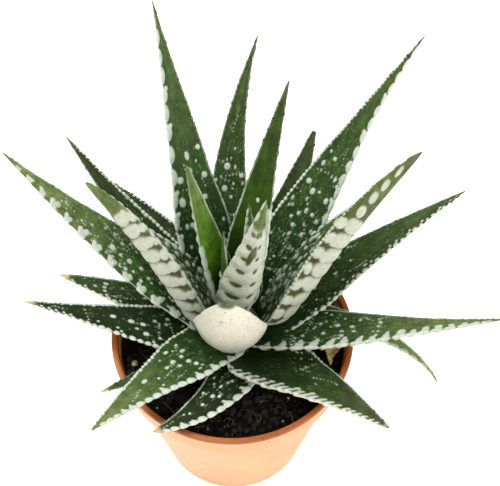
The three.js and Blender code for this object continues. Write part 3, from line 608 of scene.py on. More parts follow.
def leaf_material(kind, settings):
    """The skin of a leaf: green along its length, warts, specks, and a horny or withered tip."""
    name = kind + "_leaf_skin"
    if name in bpy.data.materials:
        return bpy.data.materials[name]
    material, tree, shader = new_material(name)
    fields = {key: attribute(tree, key) for key in LEAF_FIELDS}
    place = attribute(tree, "leaf_map", "Vector")
    grains = mapped(tree, place, (0.62, 1.0, 1.0))
    slanted = mapped(tree, place, (0.5, 1.2, 1.0), (0, 0, 0.5))
    dots = specks(tree, grains, 1.5, fields["speck"], 0.34, 0.5)
    marks = specks(tree, slanted, 0.9, fields["speck"], 0.4, 1.6)
    skin = leaf_green(kind, tree, place, fields, settings)
    skin = mixed(tree, times(tree, marks, 0.4), skin, rgba(settings.speck))
    skin = mixed(tree, times(tree, dots, 0.5), skin, rgba(settings.speck))
    skin = mixed(tree, fields["wart"], skin, wart_white(kind, tree, place, fields, settings))
    tree.links.new(leaf_tip(tree, skin, fields, settings), shader["Base Color"])
    gloss = ranged(tree, fields["wart"], 0.0, 1.0, LEAF_GLOSS, WART_GLOSS)
    tree.links.new(gloss, shader["Roughness"])
    fine = grain(tree, place, 2.6, 3.0)
    coarse = times(tree, grain(tree, place, 0.8, 2.0), 2.0)
    high = math_node(tree, "MULTIPLY_ADD", math_node(tree, "MAXIMUM", dots, marks), 1.2)
    tree.links.new(math_node(tree, "ADD", fine, coarse), high.node.inputs[2])
    roughen(tree, shader, 0.7, 0.0002, high)
    shader["Specular IOR Level"].default_value = 0.18
    let_light_in(shader, 0.08, (0.6, 1.0, 0.3), 0.002)
    return material


def leaf_green(kind, tree, place, fields, settings):
    """The skin between the warts, from its foot to its tip, lighter along the midrib of the upper part; the
    foot is a painted shade, on a banded leaf a painted light.
    """
    along, glow = fields["along"], fields["glow"]
    middle = settings.young_green if kind == "young" else settings.middle_green
    foot = {"dark": rgba(settings.foot_shade_green), "young": rgba(middle, YOUNG_FOOT_SHADE),
            "banded": rgba(middle, BANDED_FOOT_LIGHT)}[kind]
    skin = mixed(tree, ranged(tree, along, *FOOT_TO_MIDDLE), foot, rgba(middle))
    lighter = times(tree, ranged(tree, along, *MIDDLE_TO_TIP), glow)
    skin = mixed(tree, lighter, skin, rgba(settings.tip_green))
    ridge = times(tree, ranged(tree, fields["across"], 0.3, 0.0), lighter)
    skin = mixed(tree, times(tree, ridge, 0.5), skin, rgba(settings.tip_green))
    if kind == "banded":
        backed = times(tree, fields["under"], ranged(tree, along, *BANDS_FADE))
        skin = mixed(tree, backed, skin, rgba(settings.gap))
    skin = mottled(tree, skin, mapped(tree, place, (0.1, 1.4, 1.4)), 0.9, 0.8, 1.2)
    skin = mottled(tree, skin, place, 0.3, 0.7, 1.3)
    # The leaf's shade scales its whole skin: partly its own tone, partly painted shade where the leaf lies
    # in shadow.
    return mixed(tree, 1.0, skin, grey(tree, fields["shade"]), "MULTIPLY")


def wart_white(kind, tree, place, fields, settings):
    """The colour of a wart: creamier on the underside, greener at its foot, and darkened with painted shade
    deep in the rosette.
    """
    # Painted shade on the warts deep in the rosette: how far they are darkened, little on a banded leaf.
    painted_shade_share = 0.1 if kind == "banded" else 0.45
    cream = mixed(tree, ranged(tree, fields["glow"], 0.5, 1.0), rgba(settings.cream), rgba(settings.silver))
    pale = mixed(tree, fields["under"], rgba(settings.wart), cream)
    pale = mixed(tree, ranged(tree, fields["dome"], 0.7, 0.1, 0.0, 0.4), pale, rgba(settings.middle_green))
    deep = ranged(tree, fields["along"], *SHADE_IN_ROSETTE, 0.0, painted_shade_share)
    pale = mixed(tree, deep, pale, rgba(settings.shaded_wart))
    return mottled(tree, pale, place, 0.9, 0.86, 1.06)


def leaf_tip(tree, skin, fields, settings):
    """Adds the point of the leaf to its skin: green, horny or withered, as its tone says."""
    along, tone = fields["along"], fields["tone"]
    horny = times(tree, ranged(tree, along, *HORNY_POINT), ranged(tree, tone, 0.3, 0.6))
    skin = mixed(tree, times(tree, horny, 0.8), skin, rgba(settings.grey))
    withered = times(tree, ranged(tree, tone, 0.8, 1.0), ranged(tree, along, *WITHERED_POINT))
    return mixed(tree, withered, skin, rgba(settings.dry))


def power(base, exponent):
    return np.power(np.maximum(base, 0.0), exponent)


def direction(leaf, u):
    """Which way the midrib runs at u, for an array of u, as an array of unit vectors."""
    turn = np.radians(leaf["turn"] + leaf["sweep"] * u)
    start, end = leaf["rise"]
    rise = np.radians(start + (end - start) * power(u, leaf["droop"]))
    return np.stack([np.cos(rise) * np.cos(turn), np.cos(rise) * np.sin(turn), np.sin(rise)], -1)


def midrib(leaf, u):
    """The midrib's points, and the directions of the leaf's side and of its upper face there."""
    shares = (np.arange(MIDRIB_STEPS) + 0.5) / MIDRIB_STEPS
    hops = direction(leaf, u[:, None] * shares[None, :])
    point = np.array(leaf["foot"], float) + hops.sum(1) * (leaf["long"] * u / MIDRIB_STEPS)[:, None]
    turn = np.radians(leaf["turn"] + leaf["sweep"] * u)
    level = np.stack([-np.sin(turn), np.cos(turn), np.zeros_like(turn)], -1)
    upper = np.cross(direction(leaf, u), level)
    roll = np.radians(leaf["roll"] + leaf["twist"] * u)[:, None]
    side = level * np.cos(roll) + upper * np.sin(roll)
    return point, side, upper * np.cos(roll) - level * np.sin(roll)


def fullness(u, taper):
    """How wide a leaf is at u, before it is measured against its widest place."""
    left = np.maximum(0.0, 1 - u)
    waist = np.maximum(0.0, (left - WAIST) / (1 - WAIST))
    clasp = np.maximum(0.0, (left - CLASP) / (1 - CLASP))
    return left**taper * (1 - WAIST_PINCH * waist**2) * (1 - CLASP_PINCH * clasp**2)


def half_width(leaf, u):
    tip = leaf["blunt"] / 2
    share = np.minimum(1.0, fullness(u, leaf["taper"]) / fullness(np.array(WIDEST), leaf["taper"]))
    return tip + (leaf["wide"] / 2 - tip) * share


def keel_depth(leaf, u):
    tip = BLUNT_TIP_THICKNESS if leaf["blunt"] > 1 else TIP_THICKNESS
    return tip + (leaf["thick"] - tip) * power(1 - u, KEEL_TAPER)


def wobble(rng, places, pitch, amount):
    """A slow random line through places, in steps of pitch."""
    count = int(places.max() / pitch) + 3
    return np.interp(places / pitch, np.arange(count), rng.normal(0, amount, count))


def swell(u):
    """How large the warts of an edge are along a leaf."""
    return float(np.interp(u, SWELL_PLACES, SWELL_SIZES))


class Skin:
    """The skin of one leaf as a grid of points, in millimetres, with the warts that grow on it.

    u is a share of the leaf's length and run the same in millimetres; off is the way across, in
    millimetres, from one of four lines: the keel, the two edges and the middle of the upper side.
    """

    def __init__(self, leaf, settings, seed):
        self.leaf = leaf
        self.rng = np.random.default_rng(seed)
        self.band, self.bead, self.dot = (
            getattr(settings, key + "_relief") / MM for key in ("band", "bead", "dot")
        )
        rows = round(leaf["long"] * MM / settings.pitch)
        columns = settings.columns // 4 * 4
        self.u = np.linspace(0, 1, rows + 1)
        self.run = self.u * leaf["long"]
        turn = np.arange(columns) / columns * 2 * math.pi - math.pi
        by_angle, by_width = 0.45, 0.55  # columns are spaced partly by angle, partly evenly over the width
        self.share = by_angle * np.sin(turn) + by_width * (2 / math.pi) * np.arcsin(np.sin(turn))
        self.below = np.cos(turn) > NEARLY_ZERO
        self.on_edge = np.abs(np.abs(self.share) - 1) < NEARLY_ZERO
        self.shape_body()
        self.lift = np.zeros_like(self.reach)
        self.wart = np.zeros_like(self.reach)
        self.dome = np.zeros_like(self.reach)

    def shape_body(self):
        """The bare leaf, and how far each of its points is from the lines that warts are placed by."""
        leaf, u = self.leaf, self.u
        self.width = half_width(leaf, u) * (1 + wobble(self.rng, self.run, UNEVEN_PITCH, UNEVENNESS))
        keel = keel_depth(leaf, u)
        share = np.abs(self.share)[None, :]
        bulge = 1 - power(share, (leaf["round"] - TIP_FLATTENING * u)[:, None])
        rounded = np.sqrt(np.maximum(0, 1 - share**2))
        belly = keel[:, None] * (BELLY * bulge + BELLY_ROUND * rounded)
        hollow = keel[:, None] * (CHANNEL * (1 - share**2) - SHOULDER * rounded)
        self.height = np.where(self.below[None, :], -belly, -hollow)
        self.reach = self.share[None, :] * self.width[:, None]
        step = np.hypot(np.diff(self.reach, axis=1), np.diff(self.height, axis=1))
        arc = np.concatenate([np.zeros((len(u), 1)), np.cumsum(step, 1)], 1)
        quarter = len(self.share) // 4
        arc = arc - arc[:, 2 * quarter][:, None]
        plus_arc, minus_arc = arc[:, 3 * quarter], -arc[:, quarter]
        self.half_girth = (plus_arc + minus_arc) / 2
        self.lines = {
            "keel": arc,
            "plus": arc - plus_arc[:, None],
            "minus": -arc - minus_arc[:, None],
            "mid": np.where(self.below[None, :], FAR_OFF, self.reach),
        }

    def patch(self, line, run, off, half_long, half_wide, square=2.0, slant=0.0):
        """The rows near an oval, and how far each point is from its middle, 1 at its rim: in all, along."""
        window = max(half_long, half_wide) * 1.3
        first, last = np.searchsorted(self.run, [run - window, run + window])
        rows = slice(first, last)
        along = (self.run[rows] - run)[:, None]
        across = self.lines[line][rows] - off
        turn = math.radians(slant)
        a = (along * math.cos(turn) + across * math.sin(turn)) / half_long
        b = (across * math.cos(turn) - along * math.sin(turn)) / half_wide
        return rows, power(power(np.abs(a), square) + power(np.abs(b), square), 1 / square), a

    def add_wart(
        self, line, run, off, half_long, half_wide, tall, square=2.0, lean=0.0, slant=0.0, cover=1.0
    ):
        """Raises one wart at run along the leaf, off from the line; positive is inwards over an edge.

        square: 2 for an oval, more for a squarer outline; lean: how much steeper it is towards the foot;
        slant: its turn in degrees; cover: how white it is.
        """
        rows, far, along = self.patch(line, run, off, half_long, half_wide, square, slant)
        if rows.stop <= rows.start:
            return
        body = power(1 - far**DOME_SQUARENESS, DOME_FULLNESS) * (1 - lean * along)
        self.lift[rows] = np.maximum(self.lift[rows], tall * body)
        white = np.clip((WHITE_END - far) / WHITE_BLUR, 0, 1) * cover
        self.dome[rows] = np.where(white > self.wart[rows], np.clip(body, 0, 1), self.dome[rows])
        self.wart[rows] = np.maximum(self.wart[rows], white)

    def cut_slot(self, run, off, half_long, half_wide, slant):
        """Leaves a sunken gap in the coat of the underside."""
        rows, far, _ = self.patch("keel", run, off, half_long, half_wide, slant=slant)
        cut = np.clip((SLOT_END - far) / SLOT_BLUR, 0, 1)
        self.wart[rows] *= 1 - SLOT_SHADE * cut
        self.lift[rows] -= self.band * SLOT_DEPTH * cut

    def grow(self):
        getattr(self, "band_" + self.leaf["bands"])()
        self.grow_edge("plus")
        self.grow_edge("minus")
        self.grow_dots()
        self.grow_files()

    def band_places(self):
        """Where the bands of the underside are: run, share of the length, room to the next, half girth."""
        leaf = self.leaf
        run = leaf["pitch"] * 0.4
        while run < leaf["long"] * leaf["bare"]:
            u = run / leaf["long"]
            room = leaf["pitch"] * (1 - CROWDING * u)
            yield run, u, room, float(np.interp(run, self.run, self.half_girth))
            run += room * self.rng.uniform(0.94, 1.06)

    def band_rows(self):
        """Cross bands of separate small warts, each with its steep side towards the foot."""
        rng, lobe, fill, ragged = self.rng, 2.6, 0.3, 0.2
        for run, u, room, girth in self.band_places():
            count = max(1, round(2 * girth / lobe))
            spacing = 2 * girth / count
            tall = self.band * min(1, 3.2 * (1 - u))
            for i in range(count):
                off = (i + 0.5 - count / 2) * spacing + rng.normal(0, 0.05 * lobe)
                half_long = room * fill * rng.uniform(1 - ragged, 1 + ragged / 2)
                half_wide = spacing * 0.5 * rng.uniform(1.06 - ragged, 1.12)
                place = run + rng.normal(0, 0.16) - 0.05 * abs(off)
                self.add_wart("keel", place, off, half_long, half_wide, tall, square=2.4, lean=0.35)

    def band_lobes(self):
        """Two unequal lobes on each half of every band, and one row of ovals further up."""
        rng, leaf = self.rng, self.leaf
        for run, u, room, girth in self.band_places():
            size = min(1, 2.4 * (1 - u))
            for side in (-1, 1):
                half = side * girth
                if u >= leaf["thin"]:
                    self.add_wart("keel", run, side * leaf["row"] * girth, room * 0.42, 1.55 * size + 0.2,
                                  self.band * size, square=2.2, lean=0.3)
                    continue
                wide = girth * rng.uniform(0.34, 0.42)
                self.add_wart("keel", run, half * 0.38, room * 0.53, wide, self.band, square=2.6,
                              lean=0.4, slant=side * rng.uniform(-8, 8))
                self.add_wart("keel", run + room * rng.uniform(-0.2, 0.2), half * rng.uniform(0.5, 0.7),
                              room * 0.4, girth * 0.2, self.band * 0.9, lean=0.3)
                self.add_wart("keel", run - room * rng.uniform(0, 0.25), half * 0.88,
                              room * rng.uniform(0.3, 0.45), girth * rng.uniform(0.11, 0.19),
                              self.band * 0.9, lean=0.3, slant=side * rng.uniform(-25, 10))

    def coat(self, edge):
        """A coat of merged warts over the underside up to a ragged edge near the tip."""
        fade = np.clip((edge + wobble(self.rng, self.run, 2, 0.03) - self.u) / 0.05, 0, 1)
        coat = np.where(self.below[None, :], 1.0, 0.0) * fade[:, None]
        self.wart = np.maximum(self.wart, coat)
        self.dome = np.maximum(self.dome, coat)

    def band_slots(self):
        """A coat with low swellings, broken by pairs of slots that meet on the keel."""
        rng = self.rng
        self.coat(self.leaf["bare"])
        for run, u, room, girth in self.band_places():
            far = np.abs(self.run - run)
            swelling = np.where(far < room / 2, 0.5 + 0.5 * np.cos(far / room * 2 * math.pi), 0)
            self.lift += self.band * swelling[:, None] * self.below[None, :] * min(1, 3 * (1 - u))
            for side in (-1, 1):
                wide = girth * (0.24 - 0.07 * side) * rng.uniform(0.85, 1.15) * (1 - 0.4 * u)
                self.cut_slot(run + room / 2, side * girth * 0.36, rng.uniform(0.8, 1.2), wide, side * 10)
        for share, off, half_long, half_wide in CLEFTS:
            self.cut_slot(share * self.leaf["long"], off, half_long, half_wide, 8)

    def band_shell(self):
        """A smooth coat with fine rings, and a few dark flecks near the tip."""
        self.coat(self.leaf["bare"])
        for run, _, room, _ in self.band_places():
            ring = np.exp(-(((self.run - run) / (room * 0.2)) ** 2))
            self.lift -= RING_DEPTH * ring[:, None] * self.below[None, :]
            self.wart *= 1 - RING_SHADE * ring[:, None] * self.below[None, :]
        for share, off, size in FLECKS:
            rows, far, _ = self.patch("keel", share * self.leaf["long"], off, size * 1.6, size)
            self.wart[rows] *= 1 - 0.6 * np.clip(1.3 - far, 0, 1)

    def grow_edge(self, line):
        """The pale margin on one side, partly real white and partly a painted highlight of the lit edge: a
        thin ridge, small teeth, and what its style adds.
        """
        leaf, rng, style = self.leaf, self.rng, self.leaf[line]
        from_edge = np.abs(self.lines[line])
        ridge = np.clip((MARGIN_WIDTH - from_edge) / MARGIN_BLUR, 0, 1) * MARGIN_WHITE_AND_HIGHLIGHT
        upto = np.clip((leaf["rim"] - self.u) / 0.25, 0, 1) * np.clip(self.u * 12, 0, 1)
        broken = np.clip(0.85 + wobble(rng, self.run, 1.8, 0.3), 0, 1) * upto
        margin = ridge * broken[:, None]
        self.dome = np.where(margin > self.wart, 0.8, self.dome)
        self.wart = np.maximum(self.wart, margin)
        self.lift = np.maximum(self.lift, self.bead * MARGIN_HEIGHT * margin)
        grow = getattr(self, "edge_" + style)
        pitch = EDGE_PITCHES.get(style, leaf["pitch"])
        run = EDGE_START
        while run < leaf["long"] * EDGE_END:
            u = run / leaf["long"]
            room = pitch * (1 - CROWDING * u)
            grow(line, run, u, swell(u), room)
            if u > 0.3 and rng.random() < TOOTH_SHARE:
                self.add_wart(line, run + rng.uniform(0.3, 1.3), 0.0, rng.uniform(0.4, 0.9), 0.5,
                              self.bead * rng.uniform(0.3, 0.8), lean=0.5, cover=0)
            run += room * rng.uniform(0.88, 1.12)

    # Each style of edge grows the warts of one place: run along the leaf, at the share u of its length,
    # size times as large as at their largest, with room to the next place.

    def edge_line(self, line, run, u, size, room):
        """Hardly more than the margin: pale warts, partly the real white edge and partly a painted highlight
        where it catches the light.
        """
        white = 0.55 if u < 0.5 else 0.25
        self.add_wart(line, run, 0.0, 0.75, 0.34 + 0.1 * size, self.bead * 0.5 * size, cover=white)

    def edge_beads(self, line, run, u, size, room):
        """A row of small beads."""
        radius = self.rng.uniform(0.38, 0.58) * size
        self.add_wart(line, run, self.rng.uniform(0, 0.3), radius * 1.3, radius, self.bead * size)

    def edge_double(self, line, run, u, size, room):
        """Beads, and two rows of finer ones below them on the lower half."""
        rng = self.rng
        self.edge_beads(line, run, u, size * 1.1, room)
        if u < 0.55:
            for row in (1, 2):
                radius = rng.uniform(0.28, 0.4)
                self.add_wart(line, run + rng.uniform(-0.6, 0.6), -row * 1.1, radius * 1.8, radius, self.dot)

    def edge_ovals(self, line, run, u, size, room):
        """Long beads that nearly touch."""
        self.add_wart(line, run, 0.35, room * 0.5, 0.9 * size, self.bead * size, square=2.2)

    def edge_blobs(self, line, run, u, size, room):
        """Beads of unequal size, some with a smaller one beside them."""
        rng = self.rng
        radius = rng.uniform(0.55, 0.95) * size
        self.add_wart(line, run, 0.2, radius * 1.25, radius, self.bead * size, slant=rng.uniform(-30, 30))
        if rng.random() < 0.4:
            self.add_wart(line, run + 0.8, 1.4 * size, 0.5, 0.4, self.bead * 0.7 * size)

    def edge_scallops(self, line, run, u, size, room):
        """Deep round patches, some with a finger inwards."""
        rng = self.rng
        tall, deep = self.bead * (0.6 + 0.5 * size), rng.uniform(1.2, 1.6) * (0.25 + 0.75 * size)
        self.add_wart(line, run, 0.2, room * 0.5, deep, tall, square=2.1, slant=rng.uniform(-12, 12))
        if rng.random() < 0.35:
            self.add_wart(line, run, 1.6 * size, 0.55, 1.2 * size, tall * 0.8, slant=rng.uniform(-35, 10))

    def edge_patches(self, line, run, u, size, room):
        """Patches that merge along the edge, some with a lobe inwards."""
        rng = self.rng
        deep = rng.uniform(1.25, 1.75) * size
        self.add_wart(line, run, 0.0, room * rng.uniform(0.46, 0.52), deep, self.bead * size, square=1.8)
        if rng.random() < 0.35:
            self.add_wart(line, run + room * 0.3, 1.1 * size, 0.8, 0.7 * size, self.bead * 0.8 * size)

    def edge_hearts(self, line, run, u, size, room):
        """Where a band ends in a broad patch whose two lobes reach over the edge."""
        deep = (0.5 + 0.5 * size) * self.rng.uniform(0.85, 1.15)
        self.add_wart(line, run, 0.3, 1.5 * deep, 1.5 * deep, self.bead * size, square=2.2)
        for way in (-1, 1):
            reach = self.rng.uniform(0.7, 1.1)
            self.add_wart(line, run + way * 0.75 * deep, 1.5 * deep * reach, 1.6 * deep * reach, 1.0 * deep,
                          self.bead * size, square=2.5, slant=way * self.rng.uniform(50, 75))

    def edge_wedges(self, line, run, u, size, room):
        """Where a band ends in a patch that is broad at the edge and narrow at its top."""
        rng = self.rng
        deep = (0.45 + 0.55 * size) * rng.uniform(0.8, 1.15)
        self.add_wart(line, run, 0.2, room * 0.52, 1.1 * deep, self.bead * size, square=2.3)
        self.add_wart(line, run + 0.4, 1.6 * deep, 1.25 * deep, 1.5 * deep, self.bead * size, square=2.2,
                      slant=rng.uniform(-25, 10))
        if u < 0.6:
            self.add_wart(line, run + rng.uniform(0.2, 1.2), 3.1 * deep, 0.75 * deep, 0.8 * deep,
                          self.bead * 0.9 * size, slant=rng.uniform(-30, 30))

    def edge_commas(self, line, run, u, size, room):
        """Slanting fingers that rise from a broad pale margin."""
        rng = self.rng
        self.add_wart(line, run, -1.3, room * 0.62, 1.5, self.bead * 0.6, square=2.4,
                      slant=rng.uniform(5, 20))
        self.add_wart(line, run + rng.uniform(-0.2, 0.2), 1.0 * size, 2.0 * size, 0.8 * (0.4 + 0.6 * size),
                      self.bead * size, slant=rng.uniform(45, 70))
        if u < 0.6 and rng.random() < 0.7:
            self.add_wart(line, run + 1.0, 2.9 * size, 1.0 * size, 0.7, self.bead * 0.9 * size,
                          slant=rng.uniform(20, 80))

    def edge_blotches(self, line, run, u, size, room):
        """Broad merged patches on the lower half only; above it the edge is thin."""
        if u > 0.5:
            self.edge_line(line, run, u, size, room)
        else:
            self.add_wart(line, run, 0.3, room * 0.6, self.rng.uniform(1.1, 1.6), self.bead, square=2.4)

    def grow_dots(self):
        """The large spots of the upper side, and scattered dots that keep clear of them."""
        leaf, rng = self.leaf, self.rng
        low, high = (share * leaf["long"] for share in leaf["dotted"])
        taken = []
        for share, off, size, stretch in leaf["spots"]:
            taken.append((share * leaf["long"], off, size * 1.5))
            self.add_wart("mid", share * leaf["long"], off, size * stretch, size, self.dot, square=2.2)
        area = leaf["wide"] * (high - low) * 0.85
        banded = leaf["kind"] == "banded"
        for _ in range(int(area * DOTS_PER_AREA * leaf["dots"])):
            run = low + (high - low) * rng.beta(1.2, 1.6)
            room = np.interp(run, self.run, self.width) - 1.0
            off = rng.uniform(-max(room, 0.1), max(room, 0.1))
            size = rng.uniform(0.55, 1.0) if banded else rng.uniform(0.28, 0.5)
            if any((run - r) ** 2 / 2 + (off - o) ** 2 < (size + s + SPOT_GAP) ** 2 for r, o, s in taken):
                continue
            taken.append((run, off, size))
            self.add_wart("mid", run, off, size * rng.uniform(1.15, 1.8), size, self.dot * min(1, size * 2),
                          cover=rng.uniform(0.65, 1.0))

    def grow_files(self):
        """Short rows of the finest warts of the upper side."""
        leaf, rng = self.leaf, self.rng
        low, high = (share * leaf["long"] for share in leaf["dotted"])
        for _ in range(int(leaf["wide"] * (high - low) * FILES_PER_AREA * leaf["dots"])):
            run = rng.uniform(low, high + 4)
            off = rng.uniform(-0.75, 0.75) * np.interp(run, self.run, self.width)
            heading = rng.choice((0.0, 0.3, 1.2, -1.2)) + rng.normal(0, 0.15)
            for _ in range(rng.integers(3, 8)):
                room = np.interp(run, self.run, self.width) - 0.6
                if abs(off) < room:
                    radius = rng.uniform(0.2, 0.34)
                    self.add_wart("mid", run, off, radius * rng.uniform(1, 1.8), radius, self.dot * 0.6,
                                  cover=rng.uniform(0.35, 0.7))
                run += rng.uniform(0.8, 1.3) * math.cos(heading)
                off += rng.uniform(0.8, 1.3) * math.sin(heading) + rng.normal(0, 0.15)

    def surface(self):
        """The finished points, in metres, and the fields for the material."""
        point, side, upper = midrib(self.leaf, self.u)
        base = point[:, None] + side[:, None] * self.reach[..., None]
        base += upper[:, None] * self.height[..., None]
        base[0], base[-1] = base[0].mean(0), base[-1].mean(0)
        lengthwise = np.gradient(base, axis=0)
        around = np.roll(base, -1, 1) - np.roll(base, 1, 1)
        normal = np.cross(around, lengthwise)
        normal[0], normal[-1] = normal[1], normal[-2]
        normal /= np.linalg.norm(normal, axis=-1, keepdims=True) + NEARLY_ZERO
        if (normal * (base - base.mean(1, keepdims=True))).sum(-1).mean() < 0:
            normal = -normal
        fade = np.clip(self.u * RISE_AT_FOOT, 0, 1) * np.clip((1 - self.u) * FALL_AT_TIP, 0, 1)
        placed = (base + normal * (self.lift * fade[:, None])[..., None]) * MM
        placed[0], placed[-1] = placed[0].mean(0), placed[-1].mean(0)
        return placed, self.fields()

    def fields(self):
        """What the material reads at each point."""
        leaf = self.leaf
        start, end = leaf["dotted"]
        zone = np.clip((self.u - start * 0.6) / 0.12, 0, 1) * np.clip((end + 0.3 - self.u) / 0.35, 0, 1)
        upward = np.where(self.below, 0.0, np.clip((0.92 - np.abs(self.share)) * 6, 0, 1))
        every = np.ones_like(self.reach)
        local = np.stack([self.run[:, None] * every, self.reach, self.height], -1)
        return {
            "along": self.u[:, None] * every,
            "across": np.abs(self.share)[None, :] * every,
            "wart": self.wart,
            "dome": self.dome,
            "under": np.where(self.below | self.on_edge, 1.0, 0.0)[None, :] * every,
            "speck": zone[:, None] * upward[None, :] * min(MOST_SPECKS, SPECKS_PER_DOT * leaf["dots"]),
            "tone": TIP_TONES[leaf["tip"]] * every,
            "glow": leaf["glow"] * every,
            "shade": leaf["shade"] * every,
            "leaf_map": local + self.rng.uniform(0, MAP_SPREAD, 3),
        }


def build_leaves(operator, context, chosen):
    """Grows the leaves of the nodes that are chosen, each on the midrib that its row gives."""
    settings = context.scene.haworthia_leaf
    for number, leaf in enumerate(LEAVES):
        if leaf["node"] not in chosen:
            continue
        skin = Skin(leaf, settings, LEAF_SEED + number)
        skin.grow()
        placed, fields = skin.surface()
        piece = wrapped_grid(leaf["node"].replace("leaf_", "") + "_leaf", placed, fields)
        kind = leaf["kind"]
        finish_piece(piece, LEAF_SLOTS[kind], leaf_material(kind, settings), leaf["node"])
    operator.report({"INFO"}, f"{len(chosen)} leaves")
    return {"FINISHED"}


def leaf_nodes(word):
    return [leaf["node"] for leaf in LEAVES if leaf["node"].startswith("leaf_" + word)]


class HAWORTHIA_OT_inner_leaves(Operator):
    """Grows the upright young leaves in the middle"""

    bl_idname = "haworthia.inner_leaves"
    bl_label = "Inner leaves"

    def execute(self, context):
        return build_leaves(self, context, leaf_nodes("inner") + leaf_nodes("heart"))


class HAWORTHIA_OT_middle_leaves(Operator):
    """Grows the long leaves that lean out all round"""

    bl_idname = "haworthia.middle_leaves"
    bl_label = "Middle leaves"

    def execute(self, context):
        return build_leaves(self, context, leaf_nodes("mid"))


class HAWORTHIA_OT_low_leaves(Operator):
    """Grows the leaves that reach over the rim"""

    bl_idname = "haworthia.low_leaves"
    bl_label = "Low leaves"

    def execute(self, context):
        return build_leaves(self, context, leaf_nodes("low") + leaf_nodes("base"))


# ---- pot -------------------------------------------------------------------------------------


def pot_material(settings):
    """Thin moulded plastic: saturated at the thick lip, paler below with painted light that passes through
    the thin wall, and darker inside with painted shade.
    """
    material, tree, shader = new_material("moulded_plastic")
    place = node(tree, "ShaderNodeTexCoord").outputs["Object"]
    x, y, z = node(tree, "ShaderNodeSeparateXYZ", {0: place}).outputs
    flat = node(tree, "ShaderNodeCombineXYZ", {0: x, 1: y}).outputs[0]
    radius = vector_node(tree, "LENGTH", {0: flat}, "Value")
    lip_foot, lip_side, shaded_wall_top = (settings.height - down for down in (0.0021, 0.0015, 0.0008))
    shaded_wall_foot = 0.0012
    # Below the lip the plastic is paler: painted light passing through the thin wall.
    at_lip = ranged(tree, z, lip_foot, lip_side)
    tint = mixed(tree, at_lip, rgba(settings.body), rgba(settings.lip))
    # Painted shade on the inner wall, between the lip and the floor.
    within = math_node(tree, "LESS_THAN", radius, inner_wall(tree, z, settings))
    below_lip = math_node(tree, "LESS_THAN", z, shaded_wall_top)
    above_floor = math_node(tree, "GREATER_THAN", z, shaded_wall_foot)
    shaded = times(tree, times(tree, within, below_lip), above_floor)
    tint = mixed(tree, shaded, tint, rgba(settings.inside))
    tint = mottled(tree, tint, place, 55.0, 0.9, 1.08)
    dust = specks(tree, place, 700.0, 0.05, 0.3)
    tint = mixed(tree, times(tree, dust, 0.5), tint, rgba(settings.dust))
    tree.links.new(tint, shader["Base Color"])
    fine = grain(tree, place, 900.0, 4.0)
    tree.links.new(ranged(tree, fine, 0.3, 0.7, 0.34, 0.5), shader["Roughness"])
    roughen(tree, shader, 0.25, 0.0001, fine)
    let_light_in(shader, 0.15, (1.0, 0.4, 0.2), 0.002)
    return material


def inner_wall(tree, z, settings):
    """The radius in the middle of the wall at z, which tells its inner side from its outer side."""
    # The inner side of the wall is the one that takes the painted shade.
    slope, margin = 0.2, 0.0002  # of the wall, and how far inside its middle the damp side begins
    under_rim = settings.rim_diameter / 2 - settings.rim_width / 2 - settings.wall / 2
    taper = times(tree, math_node(tree, "SUBTRACT", settings.height, z), slope)
    return math_node(tree, "SUBTRACT", math_node(tree, "SUBTRACT", under_rim, taper), margin)


def raise_ring(radius, height, new_radius, new_height):
    """Extrudes the selected ring of edges to a new radius and height."""
    bpy.ops.mesh.extrude_edges_move()
    scale = new_radius / radius
    bpy.ops.transform.resize(value=(scale, scale, 1), center_override=(0, 0, height))
    bpy.ops.transform.translate(value=(0, 0, new_height - height))


